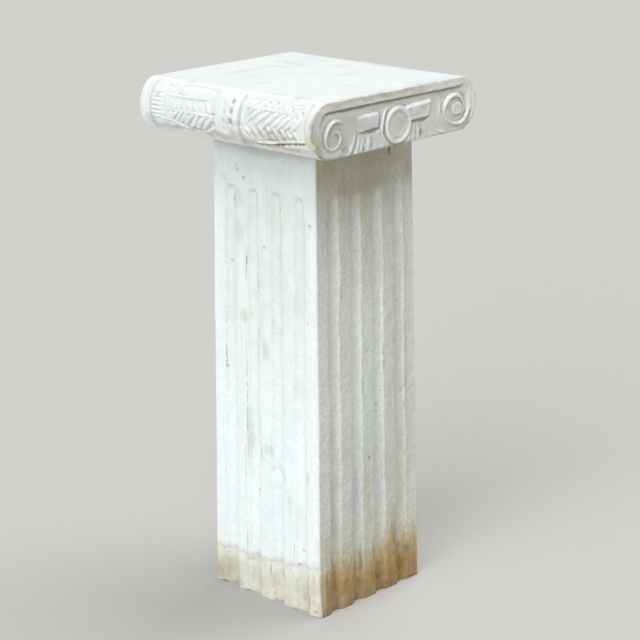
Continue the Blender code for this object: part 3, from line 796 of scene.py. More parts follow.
# Marks on the capital, in millimetres. On the front face: along it, up from its lower edge,
# reach along and up, strength. On the left roll: y, arc from the top, reach along y and arc, strength.
# On the top: x, y, reach along each, strength.
CAPITAL_TAN = {
    "face": (
        (-163, 38, 3.5, 18, 0.55), (-155, 15, 7, 10, 0.8), (-150, 6, 8, 6, 0.7), (-100, 70, 50, 5, 0.5),
        (0, 70, 70, 6, 0.45), (-30, 71, 11, 6, 0.85), (48, 70, 8, 6, 0.75), (0, 57, 130, 4, 0.34),
        (148, 9, 13, 10, 0.66), (128, 12, 18, 8, 0.3), (110, 12, 15, 8, 0.36), (161, 30, 5, 22, 0.25),
        (87, 59, 9, 4, 0.6), (112, 59, 5, 3, 0.6), (-104, 13, 12, 10, 0.55), (-128, 19, 7, 3, 0.45),
        (2, 28, 16, 14, 0.16),
    ),
    "roll": (
        (-8, 82, 48, 9, 0.42), (30, 78, 18, 9, 0.3), (-90, 86, 45, 6, 0.24), (120, 86, 34, 6, 0.24),
        (-161, 68, 8, 22, 0.7), (-163, 92, 6, 10, 0.5), (-162, 54, 5, 10, 0.35), (-70, 90, 100, 6, 0.3),
        (0, 84, 26, 6, 0.3),
    ),
    "top": ((-132, -112, 10, 14, 0.6), (110, 75, 8, 10, 0.35)),
}
# Painted highlights: paler rims, ridges and slopes that face the light
CAPITAL_HIGHLIGHTS = {
    "face": (
        (160, 40, 4, 32, 0.7), (-27, 43, 3.6, 9, 0.75), (-30.5, 31, 3, 9, 0.5), (151, 38, 5, 26, 0.85),
        (0, 5, 18, 4, 0.45), (106, 45, 12, 8, 0.35), (147, 30, 5, 18, 0.3), (-64, 15, 16, 10, 0.42),
        (-89, 14, 7, 14, 0.36), (86, 38, 6, 14, 0.4), (100, 42, 7, 12, 0.45), (118, 53, 14, 3, 0.35),
        (-58, 49.5, 22, 2.8, 0.8), (45, 52, 26, 3.2, 0.8), (-121, 49.5, 15, 4, 0.8),
        (-136, 42, 5, 7, 0.5), (-75, 12, 5, 12, 0.7), (-26, 15, 5, 6, 0.6), (24, 6, 6, 5, 0.6),
        (122, 50.5, 12, 3, 0.8), (100, 36, 4.5, 12, 0.8), (103, 44, 5, 6, 0.7), (155, 30, 6, 22, 0.55),
        (118, 38, 4, 5, 0.6), (124, 41.5, 6, 2.4, 0.6), (152, 42, 3, 10, 0.6), (147, 24, 4, 8, 0.5),
        (152, 60, 6, 8, 0.3), (136, 8, 9, 5, 0.5),
    ),
    "roll": ((61, 61, 7, 6, 0.6),),
}
# Grey smudges; the long row along the top's right edge, at x 134, is painted shade
CAPITAL_SMUDGES_AND_SHADE = {
    "top": (
        (28, 85, 7, 30, 0.4), (65, 95, 9, 38, 0.42), (-30, 95, 60, 12, 0.3), (-35, 138, 10, 8, 0.3),
        (102, 154, 8, 5, 0.42), (-137, 90, 6, 8, 0.42), (45, -32, 32, 9, 0.3), (90, 20, 18, 12, 0.3),
        (-28, -98, 10, 8, 0.3), (-134, -70, 6, 24, 0.36), (-80, 4, 10, 10, 0.28),
        (55, -145, 20, 7, 0.26), (95, 105, 60, 70, 0.1), (134, -20, 9, 170, 0.36),
        (60, -158, 120, 5, 0.16), (0, 158, 130, 6, 0.18),
    ),
    "roll": ((151, 30, 4, 30, 0.24), (-29, 40, 2.6, 22, 0.3), (-12, 40, 8, 26, 0.12)),
}
# Soot and painted shade: grime on the face's left part, and shade painted in the groove under the band,
# under the tabs and along the rolls' lower band
CAPITAL_SOOT_AND_SHADE = {
    "face": (
        (-104, 35, 66, 36, 0.3), (-135, 32, 22, 22, 0.22), (6, 56, 134, 4, 0.22),
        (-3, 10.5, 13, 1.8, 0.34), (2, 30, 18, 17, 0.12), (100, 62, 44, 2.4, 0.5),
        (0, 61.5, 130, 2, 0.34), (-160, 38, 8, 24, 0.4), (-154, 14, 8, 12, 0.3), (-62, 72, 58, 5, 0.34),
        (-22, 71, 12, 6, 0.4), (16, 73.5, 22, 3.5, 0.4), (-66, 25.6, 9, 2.2, 0.6),
        (-50, 26, 12, 3, 0.7), (38, 26, 9, 2.2, 0.55), (-101, 10, 6, 7, 0.5), (-51, 12, 4, 10, 0.45),
        (0, 8.6, 10, 2.6, 0.5), (50, 12, 6, 8, 0.5), (24, 47, 4, 4, 0.5), (50, 48, 10, 3, 0.3),
        (-50, 47, 12, 3, 0.3), (-50, 24, 7, 2.4, 0.5), (55, 27, 11, 3.2, 0.7), (124, 22, 18, 4, 0.3),
        (-155, 56, 10, 9, 0.3), (-163.5, 46, 1.8, 10, 0.7), (-161.5, 29, 1.8, 10, 0.75),
        (-157.5, 17, 2.4, 8, 0.75), (-151.5, 7, 3, 5, 0.65), (164, 40, 2, 22, 0.55),
        (161, 18, 2.6, 10, 0.55),
    ),
    "roll": (
        (-20, 72, 20, 9, 0.42), (-16, 56, 24, 7, 0.34), (40, 86, 12, 6, 0.44), (141, 86, 8, 7, 0.44),
        (-92, 65, 54, 9, 0.46), (-56, 66, 20, 8, 0.36), (-88, 84, 76, 5, 0.6), (-34, 88, 12, 14, 0.46),
        (0, 80, 22, 7, 0.3), (90, 80, 60, 6, 0.52), (14, 82, 18, 8, 0.44), (151, 74, 9, 14, 0.3),
        (66, 64, 54, 10, 0.18), (-48, 41, 12, 8, 0.16),
    ),
}
# Dark dirt and painted shadow: shadow in the groove under the band, beside the tabs, in the belt's
# sinkings and under the near leaves' lower border
CAPITAL_DARK_DIRT_AND_SHADOW = {
    "face": (
        (-106, 9, 4, 4, 0.42), (-99, 5, 3, 3, 0.42), (-112, 2, 4, 2.4, 0.5), (-66.5, 4, 2.5, 3, 0.35),
        (50, 11, 3, 4, 0.25), (-90, 60.6, 60, 1.2, 0.42), (0, 61.4, 60, 1.2, 0.34),
        (90, 61.4, 60, 1.2, 0.38), (-36, 42, 2.4, 8, 0.4), (66, 40, 2.6, 9, 0.35), (110, 34, 4, 6, 0.2),
        (131, 21.5, 8, 2, 0.35),
    ),
    "roll": (
        (-88, 60, 6, 2.6, 0.5), (-76, 57, 5, 2.2, 0.42), (-66, 62, 3, 4, 0.36),
        (-86, 72, 14, 2.2, 0.55), (-112, 66, 6, 2.4, 0.48), (-130, 63, 6, 2.2, 0.48),
        (-104, 58, 4, 2.4, 0.36), (-41, 33, 4, 3, 0.26), (-48, 39, 4, 3, 0.32),
        (-58, 85.4, 8, 2.4, 0.55), (-68, 84.4, 9, 3, 0.95), (-80, 82.2, 9, 2.6, 0.85),
        (-90, 80.4, 6, 3.2, 1), (-101, 78.4, 9, 2.8, 1), (-112, 76.4, 7, 3.2, 1),
        (-123, 74.4, 8, 2.8, 1), (-134, 72.4, 6, 3.2, 1), (-143, 71, 6, 2.6, 0.8),
        (-13, 27, 3.6, 3, 0.34), (-13, 41, 3.6, 3, 0.46), (-13.4, 56, 3.6, 3.2, 0.4),
        (0, 31, 3, 2.4, 0.14), (0, 44, 3, 2.4, 0.16), (137, 33, 4, 2.6, 0.3), (20, 49, 9, 1.8, 0.34),
        (32, 54, 6, 1.8, 0.28),
    ),
}
# Names of the marks, with the size of the noise that ravels their edges and how far
CAPITAL_STAINS = (
    ("tan", CAPITAL_TAN, 0.014, 0.006), ("soot_and_shade", CAPITAL_SOOT_AND_SHADE, 0.014, 0.006),
    ("smudge_and_shade", CAPITAL_SMUDGES_AND_SHADE, 0.016, 0.007), ("painted_highlight", CAPITAL_HIGHLIGHTS, 0.010, 0.003),
    ("dark_dirt_and_shadow", CAPITAL_DARK_DIRT_AND_SHADOW, 0.006, 0.002),
)
# How deep marks reach through the face and the top, and the least they reach through the roll
FACE_MARK_DEPTH = 7
TOP_MARK_DEPTH = 4
ROLL_MARK_DEPTH = 6


def listed(tables):
    """The rows of a table of marks, each with the name of the face it is on."""
    return [(face, *row) for face, rows in tables.items() for row in rows]


def on_capital(tables):
    """Marks on the capital as places in metres."""
    placed = []
    for face, along_it, up, reach, tall, strength in listed(tables):
        if face == "face":
            centre, radii = (along_it, -END / MM, up), (reach, FACE_MARK_DEPTH, tall)
        elif face == "top":
            centre, radii = (along_it, up, CAPITAL_HEIGHT / MM), (reach, tall, TOP_MARK_DEPTH)
        else:
            angle = np.interp(up * MM, ROLL_ARCS, ROLL_ANGLES)
            x, z = FLAT + ROLL_REACH * math.sin(angle), HALF + HALF * math.cos(angle)
            centre, radii = (-x / MM, along_it, z / MM), (max(tall, ROLL_MARK_DEPTH), reach, tall)
        centre = [c * MM + f for c, f in zip(centre, (*CAPITAL_SHIFT, CAPITAL_FOOT_Z))]
        placed.append((centre, [r * MM for r in radii], strength))
    return placed


def stained(places, stains, size, reach, seed):
    """How far soft-edged marks stain each place, their edges led astray by noise of this size."""
    astray = places + reach * stray(places, size, seed)
    total = np.zeros(len(places))
    for centre, radii, strength in stains:
        away = np.linalg.norm((astray - centre) / radii, axis=1)
        total = np.maximum(total, strength * (1 - smooth(away, 0.35, 1.25)))
    return total


FACE_BLURS = (0.0006, 0.0022, 0.006)
ROLL_BLURS = (0.0008, 0.0024, 0.006)
RIM_DIRT = 0.55


def carve(surface, marks, numbers, sheet, levels, u, v, normal, length=1):
    """Moves vertices out by the carving, and marks its hollows, crests and upper slopes."""
    near, soft, wide, upward = (sheet.sample(level, u, v) for level in levels)
    for axis, part in normal.items():
        surface.places[numbers, axis] += near * part / length
    # Dirt and painted shade in the hollows and on downward slopes, and painted highlight on crests and
    # upper slopes
    hollow_dirt_and_shade = (soft - near) / 0.0010 + 0.15 * (wide - soft) / 0.0015
    hollow_dirt_and_shade += 0.35 * np.clip(-upward, 0, 1) - 1.1 * np.clip(upward, 0, 1)
    marks["hollow_dirt_and_shade"][numbers] = np.maximum(marks["hollow_dirt_and_shade"][numbers], hollow_dirt_and_shade)
    crest_highlight = (near - soft) / 0.0008 + 0.5 * (soft - wide) / 0.0012 + 1.6 * np.clip(upward - 0.12, 0, 1)
    marks["crest_highlight"][numbers] = np.maximum(marks["crest_highlight"][numbers], crest_highlight)


def relief_levels(sheet, blurs, downward):
    """The sheet's heights blurred by three sizes, and how far each place faces up."""
    levels = [sheet.blurred(size) for size in blurs]
    fall = np.gradient(levels[0], GRID, axis=0)
    return [*levels, fall if downward else -fall]


def make_capital(material):
    """The carved capital."""
    surface, rolls, patches = make_capital_surface()
    base = surface.places.copy()
    marks = {name: np.zeros(surface.count) for name in ("hollow_dirt_and_shade", "crest_highlight", "roll", "broken")}
    radius = 0.0016 + 0.0006 * fractal(base, 0.05, 3)
    surface.places = soften_arris(base, radius)
    carved = face_sheet()
    levels = relief_levels(carved, FACE_BLURS, False)
    for end in (-1, 1):
        numbers = patches[end]
        u, v = base[numbers, 0] * -end, base[numbers, 2]
        carve(surface, marks, numbers, carved, levels, u, v, {1: end})
    carved = roll_sheet(ROLL_ARC)
    levels = relief_levels(carved, ROLL_BLURS, True)
    for side, roll in rolls.items():
        numbers = roll["numbers"]
        arcs, y = np.meshgrid(roll["arcs"], roll["y"] * -side)
        nx, nz = np.sin(roll["angles"]) / ROLL_REACH, np.cos(roll["angles"]) / HALF
        carve(surface, marks, numbers, carved, levels, y, arcs, {0: side * nx, 2: nz}, np.hypot(nx, nz))
        marks["roll"][numbers] = smooth(arcs, 0, 0.02) * (1 - smooth(arcs, ROLL_ARC - 0.02, ROLL_ARC))
    for n, (place, outward, run, length, depth) in enumerate(CAPITAL_CHIPS):
        centre = np.array(place) * MM
        chip(surface.places, marks["broken"], centre, outward, run, length * MM, depth * MM, 50 + n)
    arris_wear(surface.places, marks["broken"], 70, 11)
    surface.places[:, 0] += roll_swell(base)
    surface.places += stray(base, 0.07, 21) * 0.0004 + stray(base, 0.009, 31) * 0.00012
    surface.places[:, 2] = np.maximum(surface.places[:, 2], 0)
    placement = np.array((*CAPITAL_SHIFT, CAPITAL_FOOT_Z))
    for name, tables, size, reach in CAPITAL_STAINS:
        marks[name] = stained(base + placement, on_capital(tables), size, reach, 150)
    # Dirt along the arris of the left volute
    inset, _, _ = outline_inset(base[:, 0], base[:, 2])
    rim = 1 - smooth(np.hypot(np.maximum(inset, 0), base[:, 1] + END), 0.0008, 0.0030)
    rim *= smooth(-base[:, 0], 0.110, 0.150) * (0.75 + 0.5 * fractal(base, 0.012, 61))
    marks["dark_dirt_and_shadow"] = np.maximum(marks["dark_dirt_and_shadow"], RIM_DIRT * rim)
    surface.places += placement
    return surface.to_object("capital_carved", material, marks)


# The shaft


# Where columns stand across a land, from 0 to 1, and across the wider land at a corner
LAND = np.array([0, 0.03, 0.08, 0.2, 0.5, 0.8, 0.92, 0.97, 1])
CORNER_LAND = np.array([0, 0.025, 0.06, 0.11, 0.17, 0.24, 0.32, 0.42, 0.54, 0.68, 0.82, 0.92, 0.97, 1])
MODULES = 2 * FLUTES_PER_FACE + 1
# Heights of the shaft's rows, closer at its foot, at the flutes' heads and at its top
SHAFT_ROWS = MM * np.concatenate(
    [
        np.arange(0, 4, 1.0), np.arange(4, 88, 2.4), np.arange(88, 594, 5.5), np.arange(594, 622, 1.1),
        np.arange(622, 682, 4.5), [682.5, 684.3, 685.4, SHAFT_TOP_Z / MM],
    ]
)
FLUTE_WAVER = 0.145


def shaft_half_width(z):
    """Half the shaft's width at a height, which tapers in a straight line."""
    return (SHAFT_FOOT + (SHAFT_HEAD - SHAFT_FOOT) * z / SHAFT_TOP_Z) / 2


def face_columns(fine):
    """Where a face's columns stand, from -1 to 1 across it, closer at every arris."""
    flute = (1 - np.cos(np.linspace(0, math.pi, 15 if fine else 11))) / 2
    columns = [np.array([-1.0])]
    for i in range(MODULES):
        shares = flute if i % 2 else LAND
        if i in (0, MODULES - 1):
            shares = CORNER_LAND if i == 0 else 1 - CORNER_LAND[::-1]
        columns.append(-1 + 2 / MODULES * (i + shares[1:]))
    return np.concatenate(columns)


def flute_cut(across, z, seed):
    """How deep the flutes are at places across a face, from -1 to 1, and heights."""
    spots = np.stack([across * 0.1, np.full_like(z, 0.1 * seed), z], -1).reshape(-1, 3)
    waver = (fractal(spots, 0.013, seed, 2) + 0.9 * fractal(spots, 0.05, seed + 5, 2)).reshape(z.shape)
    half_width = shaft_half_width(z)
    module = 2 * half_width / MODULES
    arch = SHAFT_HEAD / MODULES / 2
    spring = FLUTE_TOP_Z - arch
    depth = np.zeros(np.broadcast(across, z).shape)
    for i in range(FLUTES_PER_FACE):
        centre = (2 * i - FLUTES_PER_FACE + 1) * 2 / MODULES
        off = (across - centre) * half_width / (module / 2) + FLUTE_WAVER * waver
        above = np.maximum(z - spring, 0) / arch
        full = np.clip(1 - off**2 - above**2, 0, 1)
        soft = 0.05 + 0.45 * (1 - smooth(FLUTE_TOP_Z - z, 0, 0.055))
        shape = (np.sqrt(full + soft) - np.sqrt(soft)) / (np.sqrt(1 + soft) - np.sqrt(soft))
        shape **= 1 + 0.8 * (1 - smooth(FLUTE_TOP_Z - z, 0, 0.09))
        depth = np.maximum(depth, FLUTE_DEPTH * shape)
    return depth


# The broken corner at the foot: height, and how much is gone from the front and the left face
BREAK_LEVELS = ((0, 4.8, 24.5), (14, 4, 22.5), (30, 2.8, 18), (47, 0.4, 1.6))
# Chips on the shaft's foot: x and y on its edge, outward, run, length, depth
FOOT_CHIPS = (
    ((-107, -62), (-1, 0, -1), (0, 1, 0), 12, 2.6), ((-107, -20), (-1, 0, -1), (0, 1, 0), 9, 1.6),
    ((-107, 34), (-1, 0, -1), (0, 1, 0), 14, 2.2), ((-107, 88), (-1, 0, -1), (0, 1, 0), 10, 3),
    ((-70, -107), (0, -1, -1), (1, 0, 0), 12, 2.8), ((-20, -107), (0, -1, -1), (1, 0, 0), 10, 1.8),
    ((40, -107), (0, -1, -1), (1, 0, 0), 14, 2), ((92, -107), (0, -1, -1), (1, 0, 0), 10, 2.4),
)
CORNER_CHIPS = 60
# Marks on the shaft's left and front faces: share of the half width across, height, reach across and up
# Tan stains; the rows high on the front, at 600 and 624, are painted shade under the capital as well as
# stain
SHAFT_TAN_AND_SHADE = {
    "left": (
        (-0.41, 427, 7, 15, 0.55), (0.03, 382, 7, 15, 0.55), (-0.1, 500, 12, 40, 0.22),
        (-0.05, 440, 7, 100, 0.2), (0.25, 490, 38, 120, 0.1), (-0.82, 30, 22, 30, 0.4),
        (-0.5, 560, 44, 40, 0.16), (0.3, 580, 50, 40, 0.16),
    ),
    "front": (
        (0.45, 290, 7, 48, 0.55), (-0.05, 175, 8, 30, 0.5), (0, 155, 12, 50, 0.45),
        (0.52, 100, 8, 40, 0.8), (0.7, 380, 36, 190, 0.26), (-0.55, 560, 40, 50, 0.18),
        (0.1, 520, 50, 60, 0.16), (0, 600, 22, 46, 0.34), (0, 624, 62, 14, 0.38),
        (0.8, 260, 22, 150, 0.32), (0.45, 180, 16, 70, 0.26),
    ),
}
# Grey smudges; the wide rows under the capital, at 626 and 655, are painted shade as well as grime
SHAFT_SMUDGES_AND_SHADE = {
    "left": (
        (0.22, 208, 14, 8, 0.5), (-0.1, 222, 5, 10, 0.5), (0.8, 210, 5, 10, 0.5),
        (0, 655, 90, 22, 0.26), (0.45, 160, 4, 26, 0.34), (-0.55, 598, 18, 14, 0.34),
        (-0.5, 552, 14, 20, 0.3), (0.05, 235, 12, 8, 0.3), (-0.3, 250, 5, 60, 0.26),
        (0.62, 345, 10, 18, 0.18), (-0.8, 620, 10, 8, 0.26),
    ),
    "front": (
        (-0.6, 400, 30, 120, 0.14), (-0.667, 255, 9, 60, 0.34), (-0.444, 250, 9, 50, 0.2),
        (0, 626, 62, 14, 0.36), (-0.667, 170, 10, 110, 0.36), (-0.222, 150, 10, 60, 0.34),
    ),
}
SHAFT_LINES = {
    "left": (
        (-0.36, 500, 1.4, 26, 0.7), (-0.36, 300, 1.2, 125, 0.55), (-0.12, 440, 1.5, 98, 0.75),
        (0.33, 495, 0.9, 70, 0.4), (0.36, 190, 0.9, 44, 0.4), (-0.78, 360, 0.9, 32, 0.4),
        (-0.376, 68, 1.2, 42, 0.55), (0.075, 50, 1.8, 11, 0.6), (0.527, 90, 1, 22, 0.4),
        (-0.59, 71, 1, 12, 0.35), (-0.15, 30, 1, 30, 0.3), (-0.68, 2, 10, 3.5, 0.6),
        (0.2, 2, 12, 3, 0.6), (-0.4, 190, 0.9, 60, 0.42), (-0.8, 180, 0.8, 36, 0.3),
        (-0.15, 235, 0.9, 14, 0.5), (0.1, 240, 0.8, 26, 0.36),
    ),
    "front": (
        (-0.1, 340, 1.2, 44, 0.5), (0.34, 355, 1.2, 30, 0.55), (0.79, 335, 1.2, 92, 0.5),
        (-0.33, 36, 1.5, 38, 0.75), (0.15, 26, 1.5, 18, 0.65), (0.57, 38, 1.5, 30, 0.75),
        (-0.72, 30, 1.3, 30, 0.5), (0.82, 40, 1.3, 36, 0.5),
    ),
}
# The drip under the capital, and small marks on the broken corner
SHAFT_DRIP = {
    "front": ((0.51, 662, 2.2, 7, 1), (0.51, 677, 1.5, 12, 0.8)),
    "left": (
        (0.8, 18, 2.6, 13, 0.42), (0.785, 43, 1.2, 9, 0.5), (0.91, 8, 3.4, 3.4, 0.36),
        (0.87, 22, 1, 8, 0.4),
    ),
}
# Darker patches, most of them in the foot's stain; those under the capital, from 622 up, are painted
# shade as well as grime
SHAFT_SCORCH_AND_SHADE = {
    "front": (
        (0.9, 628, 14, 22, 0.3), (-0.28, 60, 4, 12, 0.75), (0.17, 27, 7, 11, 0.7),
        (0.24, 40, 6, 8, 0.45), (0.58, 42, 4, 18, 0.75), (-0.86, 50, 7, 10, 0.2),
        (-0.5, 38, 9, 10, 0.28), (-0.62, 14, 12, 9, 0.35), (-0.05, 12, 10, 7, 0.35),
        (0.76, 52, 8, 8, 0.5), (0.44, 58, 8, 7, 0.3), (0.4, 10, 12, 6, 0.35), (0, 622, 62, 18, 0.2),
        (0.55, 650, 60, 12, 0.12), (-0.44, 622, 9, 16, 0.3), (0.444, 96, 7, 14, 0.16),
        (0.25, 24, 40, 9, 0.32), (-0.2, 30, 9, 12, 0.42), (0.44, 22, 9, 9, 0.42),
        (0.9, 24, 8, 14, 0.34), (0.9, 82, 7, 12, 0.16),
    ),
    "left": (
        (0, 672, 104, 5, 0.2), (0.92, 16, 11, 16, 0.28), (0.92, 40, 9, 12, 0.08),
        (-0.92, 14, 9, 14, 0.16), (0.667, 24, 8, 16, 0.2), (0.9, 10, 8, 9, 0.22),
        (-0.222, 22, 8, 16, 0.12), (-0.667, 14, 9, 9, 0.08), (-0.95, 14, 9, 14, 0.26),
        (-0.6, 8, 14, 6, 0.28), (-0.3, 52, 8, 4, 0.25), (0.05, 62, 10, 3, 0.25), (0.3, 44, 6, 5, 0.22),
    ),
}
# Where the foot has stayed paler
SHAFT_PALER = {
    "front": (
        (-0.93, 28, 9, 30, 0.34), (-0.7, 12, 12, 10, 0.2), (0.44, 58, 9, 9, 0.1),
        (0.222, 50, 8, 9, 0.12), (0.667, 45, 8, 16, 0.12), (-0.5, 13, 22, 8, 0.14),
    ),
    "left": (
        (-0.444, 28, 9, 24, 0.4), (0.222, 28, 9, 22, 0.75), (0.444, 34, 9, 24, 0.35),
        (-0.9, 52, 9, 10, 0.35),
    ),
}
SHAFT_DOTS = {
    "left": (
        (-0.54, 644, 2, 2, 0.5), (-0.62, 592, 3, 2.2, 0.65), (0.31, 594, 2.8, 3, 0.9),
        (-0.7, 502, 3, 2.4, 0.6), (0.59, 72, 3.2, 2.6, 0.5),
    ),
    "front": ((0.58, 382, 3.6, 3.2, 0.85), (0.01, 218, 2.6, 2.8, 0.75)),
}
SHAFT_STAINS = (
    ("tan", SHAFT_TAN_AND_SHADE), ("smudge_and_shade", SHAFT_SMUDGES_AND_SHADE), ("scorch_and_shade", SHAFT_SCORCH_AND_SHADE), ("paler", SHAFT_PALER),
)
SHAFT_MARK_DEPTH = 0.012
# The height of the foot's stain in metres across the front face, from -X to +X, over a tenth of a metre
FRONT_TIDE = (
    (0, 0.56), (0.08, 0.58), (0.17, 0.66), (0.28, 0.67), (0.39, 0.54), (0.5, 0.59), (0.61, 0.58),
    (0.72, 0.67), (0.83, 0.55), (0.93, 0.59), (1, 0.62),
)
LEFT_TIDE = (
    (0, 0.6), (0.08, 0.6), (0.25, 0.635), (0.45, 0.66), (0.6, 0.68), (0.75, 0.72), (0.88, 0.76),
    (1, 0.82),
)


def on_shaft(tables):
    """Marks on the shaft's faces as places in metres."""
    placed = []
    for face, across, z, reach, tall, strength in listed(tables):
        half = shaft_half_width(z * MM)
        if face == "left":
            centre, radii = (-half, -across * half, z * MM), (SHAFT_MARK_DEPTH, reach * MM, tall * MM)
        else:
            centre, radii = (across * half, -half, z * MM), (reach * MM, SHAFT_MARK_DEPTH, tall * MM)
        placed.append((centre, radii, strength))
    return placed


def make_shaft_surface():
    """The fluted shaft before its wear, as one closed mesh, with how deep its flutes are."""
    places, depths = [], []
    # Sides in order round the shaft: towards -Y, -X, +Y, +X, each from its own left to right
    for side, turn in enumerate((0, -math.pi / 2, math.pi, math.pi / 2)):
        z, across = np.meshgrid(SHAFT_ROWS, face_columns(side < 2)[:-1], indexing="ij")
        half = shaft_half_width(z)
        cut = flute_cut(across, z, 60 + side)
        x, y = -across * half, -half + cut
        c, s = math.cos(turn), math.sin(turn)
        places.append(np.stack([c * x - s * y, s * x + c * y, z], -1))
        depths.append(cut)
    grid = np.concatenate(places, 1)
    surface = Surface()
    numbers = surface.add(grid).reshape(grid.shape[:2])
    surface.quads(np.concatenate([numbers, numbers[:, :1]], 1), False)
    inner = grid_inside(
        -0.08, 0.08, -0.08, 0.08, 0.012, lambda x, y: np.maximum(np.abs(x), np.abs(y)) < 0.08
    )
    for row, outward in ((0, False), (-1, True)):
        surface.fill(numbers[row], grid[row, :, :2], inner, 2, SHAFT_ROWS[row], outward)
    surface.close()
    flute = np.zeros(surface.count)
    flute[numbers.ravel()] = np.concatenate(depths, 1).ravel() / FLUTE_DEPTH
    return surface, flute


def make_shaft(material):
    """The fluted shaft with its worn foot."""
    surface, flute = make_shaft_surface()
    base = surface.places.copy()
    broken = np.zeros(surface.count)
    marks = {"flute": flute, "broken": broken}
    # Vertical arrises at the corners, rounded
    half = shaft_half_width(base[:, 2])
    radius = 0.0017 + 0.0007 * fractal(base, 0.04, 5)
    shifts = rounding(radius, half - np.abs(base[:, 0]), half - np.abs(base[:, 1]))
    for axis, shift in enumerate(shifts):
        surface.places[:, axis] -= np.sign(base[:, axis]) * shift
    # The near corner's foot, broken away
    z = base[:, 2] / MM
    levels = np.array(BREAK_LEVELS)
    from_front, from_left = (np.interp(z, levels[:, 0], levels[:, k]) * MM for k in (1, 2))
    slant = np.hypot(from_front, from_left)
    inward_x, inward_y = from_left / slant, from_front / slant
    rough = 0.0013 * fractal(base, 0.014, 7) + 0.0006 * fractal(base, 0.004, 8)
    deep = (surface.places[:, 0] + half) * inward_x + (surface.places[:, 1] + half) * inward_y
    over = np.maximum(from_front * from_left / slant + rough - deep, 0) * (z < levels[-1, 0])
    over *= (base[:, 0] < 0) & (base[:, 1] < 0)
    surface.places[:, 0] += over * inward_x
    surface.places[:, 1] += over * inward_y
    np.maximum(broken, np.clip(over / 0.0012, 0, 1), out=broken)
    for n, ((x, y), facing, run, length, depth) in enumerate(FOOT_CHIPS):
        chip(surface.places, broken, (x * MM, y * MM, 0), facing, run, length * MM, depth * MM, 90 + n)
    dice = np.random.default_rng(17)
    for n in range(CORNER_CHIPS):
        sx, sy = dice.choice((-1, 1)), dice.choice((-1, 1))
        z = dice.uniform(0.01, 0.68)
        length, depth = dice.uniform(3, 9) * MM, dice.uniform(0.3, 1.1) * MM
        centre = (sx * shaft_half_width(z), sy * shaft_half_width(z), z)
        chip(surface.places, broken, centre, (sx, sy, 0), (0, 0, 1), length, depth, 120 + n)
    waver = stray(base, 0.09, 41) * 0.0006 + stray(base, 0.012, 51) * 0.00032
    surface.places[:, :2] += waver[:, :2]
    surface.places[:, 2] = np.clip(surface.places[:, 2], 0, SHAFT_TOP_Z)
    for name, tables in SHAFT_STAINS:
        marks[name] = stained(base, on_shaft(tables), 0.016, 0.007, 170)
    return surface.to_object("shaft_carved", material, marks)


# Materials


class Value:
    """What a socket gives, to be added and multiplied like a number."""

    def __init__(self, graph, socket):
        self.graph = graph
        self.socket = socket

    def __add__(self, other):
        return self.graph.math("ADD", self, other)

    def __sub__(self, other):
        return self.graph.math("SUBTRACT", self, other)

    def __rsub__(self, other):
        return self.graph.math("SUBTRACT", other, self)

    def __mul__(self, other):
        return self.graph.math("MULTIPLY", self, other)

    def __abs__(self):
        return self.graph.math("ABSOLUTE", self)

    def between(self, low, high):
        """0 below low, 1 above high, eased in between."""
        inputs = {"Value": self, "From Min": low, "From Max": high}
        return self.graph.value("ShaderNodeMapRange", inputs, interpolation_type="SMOOTHSTEP")

    def to(self, share, colour, blend="MIX"):
        """This colour, turning to another with the share, or multiplied by it."""
        return self.graph.mix(share, self, colour, blend)


